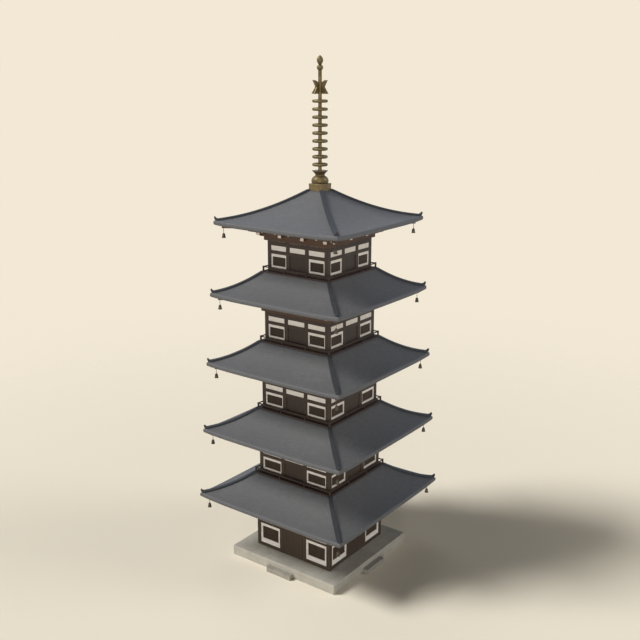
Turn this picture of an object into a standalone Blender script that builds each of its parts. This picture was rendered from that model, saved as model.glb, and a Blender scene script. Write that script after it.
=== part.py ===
# Five-storey timber pagoda on a low stone platform, with tiled roofs and a bronze spire.
# It stands on Z = 0 with its centre on the Z axis; the front faces -Y.
# Every side is the same, so pieces are built for the front and turned by quarter turns.

import math

import bmesh
import bpy
from mathutils import Matrix, Vector

# Sizes in metres.
FIT_GAP = 0.0003            # between pieces that touch
STOREYS = 5
STOREY_NAMES = ("ground", "second", "third", "fourth", "fifth")
STOREY_RISE = 4.316         # from one eave to the next
FIRST_EAVE = 4.330          # eave line of the lowest roof, above the ground

PLATFORM_HALF = 4.0
PLATFORM_TOP = 0.63
PLATFORM_BEVEL = 0.025
STEP_HALF_WIDTH = 0.92
STEP_DEPTH = 0.36
STEP_TOP = 0.31

FIRST_WALL_HALF = 2.870     # outer faces of the lowest storey's posts
WALL_STEP_IN = 0.163        # each storey is this much narrower on every side
POST = 0.26                 # square posts
FRAME_DEPTH = 0.14          # timber in front of the plaster wall
PLASTER_DEPTH = 0.12
FIELD_DEPTH = 0.10          # plaster that stands forward between the timbers
BAYS = 3
CUT_PAST = 0.1              # how far a hole's cutter runs on past the wall

# Heights measured down from the eave of the same storey.
FRAME_TOP = -1.055
HEAD_BOTTOM = -1.350
PANEL_BOTTOM = -1.645       # plaster panel under the head beam
RAIL_BOTTOM = -1.850
SILL_TOP = -2.700
FLOOR_TOP = -2.900
WINDOW_TOP = -2.015
WINDOW_BOTTOM = -2.560
WINDOW_SIDE = 0.070         # plaster beside a window
UPPER_DOOR_BACK = 0.060     # face of an upper door behind the posts

# The lowest storey is taller, so it has its own heights above the ground.
GROUND_SILL_TOP = 0.860
THRESHOLD_TOP = 0.760
GROUND_SURROUND_TOP = 2.220
GROUND_WINDOW_HEAD = 2.360
GROUND_WINDOW_BOTTOM = 1.180
GROUND_WINDOW_TOP = 2.030
GROUND_WINDOW_SIDE = 0.130
DOOR_HEAD_BOTTOM = 2.560
DOOR_HEAD_TOP = 2.740
GROUND_WALL_SPLIT = 2.650   # corner walls end here, the wall over the doors begins

DOOR_CLEARANCE = 0.008
DOOR_HEEL_GAP = 0.016       # beside the post, so the heel clears it as the leaf turns
DOOR_THICKNESS = 0.055
PIVOT_IN = 0.030            # pivot pins stand this far in from the heel
PIVOT_RADIUS = 0.018
PIVOT_SEGMENTS = 12

# Brackets under each roof, measured out from the wall face and down from the eave.
RING_OUT = 0.155
RING_TOP = -0.810
TIER_OUT = 0.320
TIER_TOP = -0.260
ARM_OUT = 0.610
ARM_WIDTH = 0.240
ARM_BOTTOM = -0.750
ARM_TOP = -0.550
ARM_LINE = 0.215            # outermost arms, out from the wall face
ARMS_PER_SIDE = 4
HIP_RAFTER_WIDTH = 0.200
HIP_RAFTER_HEIGHT = 0.180
HIP_RAFTER_END_HEIGHT = 0.080
HIP_RAFTER_START = 0.100    # out from the wall face
HIP_RAFTER_END_IN = 0.340   # in from the roof tip
HIP_RAFTER_DROP = 0.024     # top of the rafter under the soffit
HIP_RAFTER_FIRST_DROP = 0.004
HIP_RAFTER_LIFT = 0.45      # share of the corner's lift that the rafter follows
HIP_RAFTER_STATIONS = 4

BELL_IN = 0.410             # bells hang this far in from the roof tips
BELL_TOP = -0.580
BELL_BOTTOM = -0.870
BELL_WIRE_RADIUS = 0.018
BELL_SHOULDER = 0.005       # from the bell's crown to its wire
BELL_WIRE_TOP = -0.235      # the wire ends inside the hip rafter
BELL_SEGMENTS = 6
# Radius and share of the bell's height, from the mouth upwards.
BELL_PROFILE = ((0.122, 0.0), (0.096, 0.30), (0.078, 0.78), (0.030, 1.0))

# Roofs.
FIRST_TIP = 5.412           # half width at the corner tips of the lowest roof
TIP_STEP_IN = 0.244
CORNER_LIFT = 0.084
CORNER_LIFT_POWER = 5.0
EAVE_TOP = 0.070            # where the tiles start, away from the corners
EAVE_BOTTOM = -0.190
EAVE_LIP = 0.100            # the rounded underside of the eave, in from the tips
# Inset from the tips and height from the eave, round the rounded edge.
EAVE_EDGE = ((0.0, -0.120), (0.0, 0.0), (0.05, 0.085))
ROOF_SLOPE = 0.593          # straight and curved shares of the roof's rise
ROOF_SWEEP = 0.658
TOP_ROOF_SLOPE = 0.692
TOP_ROOF_SWEEP = 1.028
ROOF_SKIN = 0.200
SOFFIT_SKIN = 0.100
SOFFIT_INNER = -0.170       # inner edge of the soffit, from the wall face
SOFFIT_BEND = 0.600         # one more row of the soffit, in from the tips
ROOF_EDGE_IN = 0.020        # the roof's upper edge, in from the edge of the deck on it
DRUM_CLEARANCE = 0.003      # between the roof and the drum inside it
INNER_SKIN = 0.220          # from the tiles down to the hollow
HOLLOW_SHARES = (0.75, 0.40)
TOP_HOLLOW_SHARES = (0.95, 0.60, 0.30)
# Inset from the tips and height from the eave, at the outer end of the hollow.
HOLLOW_END = ((0.85, 0.05), (0.80, -0.05))
ROOF_CAP_HALF = 0.500       # flat top that carries the spire
ROOF_PARTS = (-1.0, -0.87, -0.62, 0.0, 0.62, 0.87)
ROOF_ROWS = (0.25, 0.50, 0.75, 1.0)
LIFTED_SHARE = 0.75         # the corner's lift fades out this far up the roof

RIDGE_HALF_WIDTH = 0.130
RIDGE_HEIGHT = 0.100
RIDGE_ROOT = 0.090
RIDGE_STATIONS = 5
RIDGE_START_OUT = 0.030
RIDGE_END_IN = 0.180
RIDGE_SHOULDER = 0.72       # share of its height where the ridge starts to narrow
RIDGE_CROWN = 0.5           # share of its width that is flat on top
# Inset from the tips, foot, top and half width of the upturned end of a ridge.
NUB_SECTIONS = ((0.110, 0.140, 0.310, 0.090), (0.035, 0.300, 0.465, 0.045))

# Floors with their balustrades.
DECK_OUT = 0.250
DECK_BOTTOM_RISE = EAVE_TOP + ROOF_SLOPE + ROOF_SWEEP    # above the eave of the storey below
DRUM_OUT = -0.020           # short wall under the floor, from the wall face
DRUM_THICKNESS = 0.180
RAIL_LINE = 0.185
RAIL_CORNER_POST = 0.090
RAIL_POST = 0.070
RAIL_POST_TOP = -2.615
RAIL_BOTTOM_EDGE = -2.695
RAIL_TOP_EDGE = -2.635
RAIL_WIDTH = 0.070

# Bronze spire, heights above the ground.
BASE_BOX_HALF = 0.460
BASE_BOX_TOP = 23.800
BOWL_TOP = 24.250
COLLAR_TOP = 24.540
MAST_RADIUS = 0.105
RINGS = 9
FIRST_RING = 24.885
RING_PITCH = 0.449
HOOP_RADIUS = 0.380
HOOP_TUBE = 0.065
SPOKES = 4
SPOKE_WIDTH = 0.070
SPOKE_HEIGHT = 0.050
FIN_BOTTOM = 28.880
FIN_TOP = 29.640
FIN_THICKNESS = 0.060
# Distance from the mast's axis and height above the foot of the fins.
FIN_OUTLINE = ((0.0, 0.0), (0.57, 0.0), (0.57, 0.05), (0.33, 0.37),
               (0.53, 0.76), (0.30, 0.76), (0.13, 0.54), (0.0, 0.54))
TOTAL_HEIGHT = 31.0
# Radius and height of the two jewels over the mast.
JEWEL_PROFILE = ((0.105, 29.64), (0.105, 30.17), (0.15, 30.22), (0.182, 30.33), (0.15, 30.45),
                 (0.10, 30.50), (0.15, 30.58), (0.182, 30.71), (0.13, 30.86), (0.05, 30.95),
                 (0.002, TOTAL_HEIGHT))
BOWL_PROFILE = ((0.455, 23.80), (0.505, 23.92), (0.505, 24.02), (0.43, 24.16), (0.29, 24.25))
COLLAR_PROFILE = ((0.28, 24.25), (0.30, 24.33), (0.46, 24.51), (0.47, 24.54))
SPIRE_SEGMENTS = 16
HOOP_SEGMENTS = 14
HOOP_SECTION = ((0.0, -1.0), (1.0, 0.0), (0.0, 1.0), (-1.0, 0.0))

# Names of the sides in the order of the quarter turns.
SIDES = ("front", "right", "back", "left")


def linear(value):
    value /= 255.0
    return value / 12.92 if value <= 0.04045 else ((value + 0.055) / 1.055) ** 2.4


def make_material(name, colour, roughness, metallic=0.0):
    material = bpy.data.materials.new(name)
    material.use_nodes = True
    shader = material.node_tree.nodes["Principled BSDF"]
    red, green, blue = (linear(int(colour[i:i + 2], 16)) for i in (0, 2, 4))
    shader.inputs["Base Color"].default_value = (red, green, blue, 1.0)
    shader.inputs["Roughness"].default_value = roughness
    shader.inputs["Metallic"].default_value = metallic
    return material


def wall_half(storey):
    return FIRST_WALL_HALF - WALL_STEP_IN * storey


def tip_half(storey):
    return FIRST_TIP - TIP_STEP_IN * storey


def eave_height(storey):
    return FIRST_EAVE + STOREY_RISE * storey


def add_object(name, mesh, material, parent=None):
    piece = bpy.data.objects.new(name, mesh)
    bpy.context.scene.collection.objects.link(piece)
    if material is not None:
        mesh.materials.append(material)
    piece.parent = parent
    return piece


def mesh_from(name, points, faces):
    mesh = bpy.data.meshes.new(name)
    mesh.from_pydata([tuple(point) for point in points], [], faces)
    builder = bmesh.new()
    builder.from_mesh(mesh)
    bmesh.ops.recalc_face_normals(builder, faces=builder.faces)
    builder.to_mesh(mesh)
    builder.free()
    return mesh


def block(x0, x1, y0, y1, z0, z1):
    return ((min(x0, x1), max(x0, x1)), (min(y0, y1), max(y0, y1)), (min(z0, z1), max(z0, z1)))


def quarter_turns(blocks):
    """The same blocks on all four sides."""
    turned = []
    for (x0, x1), (y0, y1), height in blocks:
        turned.append(((x0, x1), (y0, y1), height))
        turned.append(((-y1, -y0), (x0, x1), height))
        turned.append(((-x1, -x0), (-y1, -y0), height))
        turned.append(((y0, y1), (-x1, -x0), height))
    return turned


def square_ring(outer, inner, bottom, top):
    """A square ring of four blocks that meet at the corners."""
    return quarter_turns([block(-outer, outer, -outer, -inner, bottom, top)])


def joined_blocks(name, solid, cut=()):
    """One closed skin round blocks that run along X, Y and Z, less the blocks cut out of them."""
    lines = []
    for axis in range(3):
        values = sorted({round(value, 6) for piece in (*solid, *cut) for value in piece[axis]})
        lines.append(values)

    def cells(piece):
        spans = []
        for axis in range(3):
            low, high = (lines[axis].index(round(value, 6)) for value in piece[axis])
            spans.append(range(low, high))
        return {(i, j, k) for i in spans[0] for j in spans[1] for k in spans[2]}

    filled = set()
    for piece in solid:
        filled |= cells(piece)
    for piece in cut:
        filled -= cells(piece)
    builder = bmesh.new()
    corners = {}

    def corner(i, j, k):
        if (i, j, k) not in corners:
            corners[i, j, k] = builder.verts.new((lines[0][i], lines[1][j], lines[2][k]))
        return corners[i, j, k]

    sides = (
        ((-1, 0, 0), ((0, 0, 0), (0, 0, 1), (0, 1, 1), (0, 1, 0))),
        ((1, 0, 0), ((1, 0, 0), (1, 1, 0), (1, 1, 1), (1, 0, 1))),
        ((0, -1, 0), ((0, 0, 0), (1, 0, 0), (1, 0, 1), (0, 0, 1))),
        ((0, 1, 0), ((0, 1, 0), (0, 1, 1), (1, 1, 1), (1, 1, 0))),
        ((0, 0, -1), ((0, 0, 0), (0, 1, 0), (1, 1, 0), (1, 0, 0))),
        ((0, 0, 1), ((0, 0, 1), (1, 0, 1), (1, 1, 1), (0, 1, 1))),
    )
    for i, j, k in sorted(filled):
        for (di, dj, dk), loop in sides:
            if (i + di, j + dj, k + dk) not in filled:
                builder.faces.new([corner(i + a, j + b, k + c) for a, b, c in loop])
    mesh = bpy.data.meshes.new(name)
    builder.to_mesh(mesh)
    builder.free()
    return mesh


def join_with(piece, other):
    """Boolean union of a hidden shape into a piece."""
    other.hide_render = True
    other.display_type = "WIRE"
    union = piece.modifiers.new("join " + other.name, "BOOLEAN")
    union.operation = "UNION"
    union.solver = "EXACT"
    union.object = other


def spun(points, segments, centre=(0.0, 0.0)):
    """A closed solid of revolution as points and faces, its profile given from the foot upwards."""
    ring = []
    for radius, height in points:
        for i in range(segments):
            angle = 2.0 * math.pi * i / segments
            x, y = centre[0] + radius * math.cos(angle), centre[1] + radius * math.sin(angle)
            ring.append((x, y, height))
    faces = []
    for row in range(len(points) - 1):
        for i in range(segments):
            j = (i + 1) % segments
            low, high = row * segments, (row + 1) * segments
            faces.append((low + i, low + j, high + j, high + i))
    last = (len(points) - 1) * segments
    faces.append(tuple(reversed(range(segments))))
    faces.append(tuple(range(last, last + segments)))
    return ring, faces


def shade_smooth(mesh, angle=35.0):
    for face in mesh.polygons:
        face.use_smooth = True
    mesh.set_sharp_from_angle(angle=math.radians(angle))


# Platform and steps.

def build_platform(stone):
    side, top = PLATFORM_HALF, PLATFORM_TOP
    mesh = joined_blocks("platform", [block(-side, side, -side, side, 0.0, top)])
    platform = add_object("stone_platform", mesh, stone)
    bevel = platform.modifiers.new("worn edge", "BEVEL")
    bevel.width = PLATFORM_BEVEL
    bevel.segments = 1
    front = joined_blocks(
        "step",
        [block(-STEP_HALF_WIDTH, STEP_HALF_WIDTH, -side - STEP_DEPTH, -side - FIT_GAP, 0.0, STEP_TOP)],
    )
    for turn, name in enumerate(SIDES):
        step = add_object(name + "_step", front, stone if turn == 0 else None)
        step.rotation_euler = (0.0, 0.0, turn * math.pi / 2.0)


# Walls.

def bay_edges(half):
    """Clear spans between the posts of one side, from left to right."""
    outer_centre = half - POST / 2.0
    spacing = 2.0 * outer_centre / BAYS
    centres = [-outer_centre + spacing * i for i in range(BAYS + 1)]
    spans = [(centres[i] + POST / 2.0, centres[i + 1] - POST / 2.0) for i in range(BAYS)]
    return centres, spans


def frame_blocks(half, bottom, top, beams):
    """Posts and full-length beams of one side, cut back to the timber in front of the plaster."""
    centres, _ = bay_edges(half)
    face, back = -half, -half + FRAME_DEPTH
    blocks = [block(c - POST / 2.0, c + POST / 2.0, face, back, bottom, top) for c in centres]
    blocks += [block(-half, half, face, back, low, high) for low, high in beams]
    return blocks


def field(span, low, high, half):
    """Plaster between the timbers, standing forward of the wall behind them."""
    back = -half + FRAME_DEPTH
    left, right = span[0] + FIT_GAP, span[1] - FIT_GAP
    return block(left, right, back - FIELD_DEPTH, back + FIT_GAP, low + FIT_GAP, high - FIT_GAP)


def window_cut(span, side_margin, low, high, half):
    inside = -half + FRAME_DEPTH + PLASTER_DEPTH + CUT_PAST
    return block(span[0] + side_margin, span[1] - side_margin, -half, inside, low, high)


def build_upper_walls(storey, timber, plaster):
    half, eave = wall_half(storey), eave_height(storey)
    name = STOREY_NAMES[storey]
    floor = eave + FLOOR_TOP + FIT_GAP
    top = eave + FRAME_TOP - FIT_GAP
    _, spans = bay_edges(half)
    beams = (
        (floor, eave + SILL_TOP),
        (eave + RAIL_BOTTOM, eave + PANEL_BOTTOM),
        (eave + HEAD_BOTTOM, top),
    )
    timbers = frame_blocks(half, floor, top, beams)
    door = spans[1]
    back = -half + FRAME_DEPTH
    door_face = -half + UPPER_DOOR_BACK
    timbers.append(block(door[0], door[1], door_face, back, eave + SILL_TOP, eave + RAIL_BOTTOM))
    add_object(name + "_storey_frame", joined_blocks("frame", quarter_turns(timbers)), timber)

    outer = half - FRAME_DEPTH - FIT_GAP
    solid = square_ring(outer, outer - PLASTER_DEPTH, floor, top)
    fields = [field(span, eave + PANEL_BOTTOM, eave + HEAD_BOTTOM, half) for span in spans]
    cuts = []
    for span in (spans[0], spans[2]):
        fields.append(field(span, eave + SILL_TOP, eave + RAIL_BOTTOM, half))
        cuts.append(window_cut(span, WINDOW_SIDE, eave + WINDOW_BOTTOM, eave + WINDOW_TOP, half))
    cuts.append(block(door[0], door[1], back, back + PLASTER_DEPTH + CUT_PAST, floor, eave + RAIL_BOTTOM))
    mesh = joined_blocks("plaster", solid + quarter_turns(fields), quarter_turns(cuts))
    add_object(name + "_storey_plaster_walls", mesh, plaster)


def build_ground_walls(timber, plaster):
    half, eave = wall_half(0), eave_height(0)
    floor = PLATFORM_TOP + FIT_GAP
    top = eave + FRAME_TOP - FIT_GAP
    _, spans = bay_edges(half)
    window_spans = (spans[0], spans[2])
    beams = (
        (floor, THRESHOLD_TOP),
        (DOOR_HEAD_BOTTOM, DOOR_HEAD_TOP),
        (eave + HEAD_BOTTOM, top),
    )
    timbers = frame_blocks(half, floor, top, beams)
    back = -half + FRAME_DEPTH
    for span in window_spans:
        timbers.append(block(span[0], span[1], -half, back, floor, GROUND_SILL_TOP))
        timbers.append(block(span[0], span[1], -half, back, GROUND_SURROUND_TOP, GROUND_WINDOW_HEAD))
    add_object("ground_storey_frame", joined_blocks("frame", quarter_turns(timbers)), timber)

    outer = half - FRAME_DEPTH - FIT_GAP
    inner = outer - PLASTER_DEPTH
    left, right = spans[0], spans[2]
    jamb = right[0] - POST
    corner = [
        block(jamb, outer, -outer, -inner, floor, GROUND_WALL_SPLIT),
        block(inner, outer, -outer, -jamb, floor, GROUND_WALL_SPLIT),
    ]
    corner.append(field(right, GROUND_SILL_TOP, GROUND_SURROUND_TOP, half))
    corner.append(field(right, GROUND_WINDOW_HEAD, DOOR_HEAD_BOTTOM, half))
    side = [
        field(left, GROUND_SILL_TOP, GROUND_SURROUND_TOP, half),
        field(left, GROUND_WINDOW_HEAD, DOOR_HEAD_BOTTOM, half),
    ]
    corner += quarter_turns(side)[1::4]
    window = (GROUND_WINDOW_SIDE, GROUND_WINDOW_BOTTOM, GROUND_WINDOW_TOP, half)
    cuts = [window_cut(right, *window)]
    cuts += quarter_turns([window_cut(left, *window)])[1::4]
    mesh = joined_blocks("corner wall", corner, cuts)
    for turn, name in enumerate(("front_right", "back_right", "back_left", "front_left")):
        wall = add_object(name + "_corner_wall", mesh, plaster if turn == 0 else None)
        wall.rotation_euler = (0.0, 0.0, turn * math.pi / 2.0)

    solid = square_ring(outer, inner, GROUND_WALL_SPLIT + FIT_GAP, top)
    fields = [field(span, DOOR_HEAD_TOP, eave + HEAD_BOTTOM, half) for span in spans]
    mesh = joined_blocks("upper wall", solid + quarter_turns(fields))
    add_object("ground_storey_upper_wall", mesh, plaster)


def build_doors(timber):
    """Four pairs of leaves that swing out over the platform on pivot pins in threshold and head."""
    half = wall_half(0)
    _, spans = bay_edges(half)
    jamb = spans[1][1]
    pivot = jamb - DOOR_HEEL_GAP - PIVOT_IN
    low, high = THRESHOLD_TOP + DOOR_CLEARANCE, DOOR_HEAD_BOTTOM - DOOR_CLEARANCE
    middle = DOOR_THICKNESS / 2.0
    pin_ends = (THRESHOLD_TOP + FIT_GAP, DOOR_HEAD_BOTTOM - FIT_GAP)
    reach = pivot - DOOR_CLEARANCE / 2.0
    for turn, side in enumerate(SIDES):
        spin = Matrix.Rotation(turn * math.pi / 2.0, 3, "Z")
        for hand, sign in (("left", -1.0), ("right", 1.0)):
            name = side + "_door_" + hand + "_leaf"
            board = block(sign * PIVOT_IN, -sign * reach, -middle, middle, low, high)
            door = add_object(name, joined_blocks("leaf", [board]), timber)
            door.location = spin @ Vector((sign * pivot, middle - half, 0.0))
            door.rotation_euler = (0.0, 0.0, turn * math.pi / 2.0)
            points, faces = spun([(PIVOT_RADIUS, height) for height in pin_ends], PIVOT_SEGMENTS)
            pin_mesh = mesh_from("pivots", points, faces)
            shade_smooth(pin_mesh)
            pins = add_object(name + "_pivots", pin_mesh, None, door)
            join_with(door, pins)


# Roofs.

def roof_row(corner_half, height, share):
    """One square row of roof points; share tells how much of the corners' lift it keeps."""
    points = []
    for turn in range(4):
        spin = Matrix.Rotation(turn * math.pi / 2.0, 3, "Z")
        for part in ROOF_PARTS:
            lift = CORNER_LIFT * share * abs(part) ** CORNER_LIFT_POWER
            points.append(spin @ Vector((part * corner_half, -corner_half, height + lift)))
    return points


def roof_slope(storey):
    """Half width of the roof's upper edge and the two shares of its rise."""
    if storey == STOREYS - 1:
        return ROOF_CAP_HALF, TOP_ROOF_SLOPE, TOP_ROOF_SWEEP
    return wall_half(storey + 1) + DECK_OUT - ROOF_EDGE_IN, ROOF_SLOPE, ROOF_SWEEP


def roof_surface(storey, share):
    """Half width, height and remaining corner lift of the tiles, from eave 0 to top 1."""
    top_half, slope, sweep = roof_slope(storey)
    half = tip_half(storey) + (top_half - tip_half(storey)) * share
    height = eave_height(storey) + EAVE_TOP + slope * share + sweep * share ** 2
    return half, height, max(0.0, 1.0 - share / LIFTED_SHARE) ** 2


def soffit_level(storey, half):
    """Height of the soffit's underside at a half width, and its share of the corners' lift."""
    inner = wall_half(storey) + TIER_OUT
    outer = tip_half(storey) - EAVE_LIP
    share = min(max((half - inner) / (outer - inner), 0.0), 1.0)
    return eave_height(storey) + TIER_TOP + FIT_GAP + (EAVE_BOTTOM - TIER_TOP - FIT_GAP) * share, share ** 2


def build_roof(storey, tile):
    tip, eave = tip_half(storey), eave_height(storey)
    top_half, slope, sweep = roof_slope(storey)
    is_top = storey == STOREYS - 1
    rows = []
    # The soffit, from its inner edge to the eave.
    inner = wall_half(storey) + SOFFIT_INNER
    rows.append(roof_row(inner, eave + TIER_TOP + FIT_GAP, 0.0))
    for half in (wall_half(storey) + TIER_OUT, tip - SOFFIT_BEND, tip - EAVE_LIP):
        height, share = soffit_level(storey, half)
        rows.append(roof_row(half, height, share))
    # The rounded eave edge.
    for inset, height in EAVE_EDGE:
        rows.append(roof_row(tip - inset, eave + height, 1.0))
    # The tiles, from the eave to the upper edge.
    for share in ROOF_ROWS:
        rows.append(roof_row(*roof_surface(storey, share)))
    cap = len(rows) - 1
    # Back down inside the roof, a skin's thickness under the tiles.
    if not is_top:
        rim = wall_half(storey + 1) + DRUM_OUT + DRUM_CLEARANCE
        rise = eave + EAVE_TOP + slope + sweep
        rows.append(roof_row(rim, rise, 0.0))
        rows.append(roof_row(rim, rise - ROOF_SKIN, 0.0))
    for share in TOP_HOLLOW_SHARES if is_top else HOLLOW_SHARES:
        half, height, _ = roof_surface(storey, share)
        rows.append(roof_row(half, height - INNER_SKIN, 0.0))
    for inset, height in HOLLOW_END:
        rows.append(roof_row(tip - inset, eave + height, 0.0))
    rows.append(roof_row(inner, eave + TIER_TOP + SOFFIT_SKIN, 0.0))

    count = len(rows[0])
    points = [point for row in rows for point in row]
    faces = []

    def bridge(a, b):
        for i in range(count):
            j = (i + 1) % count
            faces.append((a * count + i, a * count + j, b * count + j, b * count + i))

    if is_top:
        for row in range(len(rows) - 1):
            if row != cap:
                bridge(row, row + 1)
        bridge(len(rows) - 1, 0)
        faces.append(tuple(range(cap * count, (cap + 1) * count)))
        faces.append(tuple(range((cap + 1) * count, (cap + 2) * count)))
    else:
        for row in range(len(rows)):
            bridge(row, (row + 1) % len(rows))
    mesh = mesh_from("roof", points, faces)
    shade_smooth(mesh)
    roof = add_object(STOREY_NAMES[storey] + "_roof", mesh, tile)
    join_with(roof, build_ridges(storey))
    return roof


def build_ridges(storey):
    """Four hip ridges of stacked tiles, each ending in a small upturned nub over the eave's corner."""
    tip = tip_half(storey)
    top_half, _, _ = roof_slope(storey)
    start, end = top_half + RIDGE_START_OUT, tip - RIDGE_END_IN
    sections = []
    for i in range(RIDGE_STATIONS):
        half = start + (end - start) * i / (RIDGE_STATIONS - 1)
        share = (tip - half) / (tip - top_half)
        _, height, keep = roof_surface(storey, share)
        height += CORNER_LIFT * keep
        sections.append((half, height - RIDGE_ROOT, height + RIDGE_HEIGHT, RIDGE_HALF_WIDTH))
    eave = eave_height(storey)
    sections += [(tip - inset, eave + low, eave + high, width) for inset, low, high, width in NUB_SECTIONS]
    points, faces = [], []
    for turn in range(4):
        angle = math.radians(-45.0 + 90.0 * turn)
        along = Vector((math.cos(angle), math.sin(angle), 0.0))
        across = Vector((-along.y, along.x, 0.0))
        first = len(points)
        for half, low, high, width in sections:
            centre = along * half * math.sqrt(2.0)
            shoulder = low + RIDGE_SHOULDER * (high - low)
            right = ((1.0, low), (1.0, shoulder), (RIDGE_CROWN, high))
            left = tuple((-offset, level) for offset, level in reversed(right))
            for offset, level in right + left:
                points.append(centre + across * offset * width + Vector((0.0, 0.0, level)))
        for row in range(len(sections) - 1):
            for i in range(6):
                j = (i + 1) % 6
                low, high = first + row * 6, first + (row + 1) * 6
                faces.append((low + i, low + j, high + j, high + i))
        last = first + (len(sections) - 1) * 6
        faces.append(tuple(range(first, first + 6)))
        faces.append(tuple(range(last, last + 6)))
    return add_object(STOREY_NAMES[storey] + "_hip_ridges", mesh_from("ridges", points, faces), None)


# Brackets and bells.

def build_brackets(storey, timber):
    half, eave = wall_half(storey), eave_height(storey)
    inner = half - POST
    blocks = square_ring(half + RING_OUT, inner, eave + FRAME_TOP, eave + RING_TOP)
    blocks += square_ring(half + TIER_OUT, inner, eave + RING_TOP, eave + TIER_TOP)
    line = half + ARM_LINE
    arms = []
    for i in range(ARMS_PER_SIDE):
        centre = -line + 2.0 * line * i / (ARMS_PER_SIDE - 1)
        arms.append(
            block(centre - ARM_WIDTH / 2.0, centre + ARM_WIDTH / 2.0, -half - ARM_OUT, -half,
                  eave + ARM_BOTTOM, eave + ARM_TOP)
        )
    mesh = joined_blocks("brackets", blocks + quarter_turns(arms))
    brackets = add_object(STOREY_NAMES[storey] + "_storey_brackets", mesh, timber)
    join_with(brackets, build_hip_rafters(storey))
    join_with(brackets, build_bells(storey))


def build_hip_rafters(storey):
    """A rafter under each roof corner, just below the soffit and bent like it."""
    start, end = wall_half(storey) + HIP_RAFTER_START, tip_half(storey) - HIP_RAFTER_END_IN
    points, faces = [], []
    width = HIP_RAFTER_WIDTH / 2.0
    for turn in range(4):
        angle = math.radians(-45.0 + 90.0 * turn)
        along = Vector((math.cos(angle), math.sin(angle), 0.0))
        across = Vector((-along.y, along.x, 0.0))
        first = len(points)
        for i in range(HIP_RAFTER_STATIONS):
            half = start + (end - start) * i / (HIP_RAFTER_STATIONS - 1)
            level, share = soffit_level(storey, half)
            # The side of the rafter lies where the soffit is lower than on the corner line.
            drop = HIP_RAFTER_DROP if i else HIP_RAFTER_FIRST_DROP
            top = level + HIP_RAFTER_LIFT * CORNER_LIFT * share - drop
            centre = along * half * math.sqrt(2.0)
            taper = (HIP_RAFTER_HEIGHT - HIP_RAFTER_END_HEIGHT) * i / (HIP_RAFTER_STATIONS - 1)
            foot = top - HIP_RAFTER_HEIGHT + taper
            for offset, height in ((-1, foot), (1, foot), (1, top), (-1, top)):
                points.append(centre + across * offset * width + Vector((0.0, 0.0, height)))
        for row in range(HIP_RAFTER_STATIONS - 1):
            for i in range(4):
                j = (i + 1) % 4
                low, high = first + row * 4, first + (row + 1) * 4
                faces.append((low + i, low + j, high + j, high + i))
        last = first + (HIP_RAFTER_STATIONS - 1) * 4
        faces.append(tuple(range(first, first + 4)))
        faces.append(tuple(range(last, last + 4)))
    return add_object(STOREY_NAMES[storey] + "_hip_rafters", mesh_from("hip rafters", points, faces), None)


def build_bells(storey):
    """A wind bell on a wire under each hip rafter."""
    eave = eave_height(storey)
    out = tip_half(storey) - BELL_IN
    height = BELL_TOP - BELL_BOTTOM
    profile = [(radius, eave + BELL_BOTTOM + share * height) for radius, share in BELL_PROFILE]
    profile.append((BELL_WIRE_RADIUS, eave + BELL_TOP + BELL_SHOULDER))
    profile.append((BELL_WIRE_RADIUS, eave + BELL_WIRE_TOP))
    points, faces = [], []
    for x, y in ((1, -1), (1, 1), (-1, 1), (-1, -1)):
        ring, sides = spun(profile, BELL_SEGMENTS, (x * out, y * out))
        base = len(points)
        points += ring
        faces += [tuple(base + index for index in side) for side in sides]
    mesh = mesh_from("bells", points, faces)
    shade_smooth(mesh)
    return add_object(STOREY_NAMES[storey] + "_wind_bells", mesh, None)


# Floors and balustrades.

def build_floor(storey, timber):
    half, eave = wall_half(storey), eave_height(storey)
    below = eave_height(storey - 1)
    low = below + DECK_BOTTOM_RISE + FIT_GAP
    top = eave + FLOOR_TOP
    edge = half + DECK_OUT
    blocks = [block(-edge, edge, -edge, edge, low, top)]
    drum = half + DRUM_OUT
    blocks += square_ring(drum, drum - DRUM_THICKNESS, below + TIER_TOP + FIT_GAP, low)
    line = half + RAIL_LINE
    rail_low, rail_high = eave + RAIL_BOTTOM_EDGE, eave + RAIL_TOP_EDGE
    side = RAIL_CORNER_POST / 2.0
    rails = [block(line - side, line + side, -line - side, -line + side, top, eave + RAIL_POST_TOP)]
    side = RAIL_POST / 2.0
    for centre in (-line / 3.0, line / 3.0):
        rails.append(block(centre - side, centre + side, -line - side, -line + side, top, rail_low))
    side = RAIL_WIDTH / 2.0
    rails.append(block(-line, line, -line - side, -line + side, rail_low, rail_high))
    mesh = joined_blocks("floor", blocks + quarter_turns(rails))
    add_object(STOREY_NAMES[storey] + "_floor_and_balustrade", mesh, timber)


# Spire.

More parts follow.
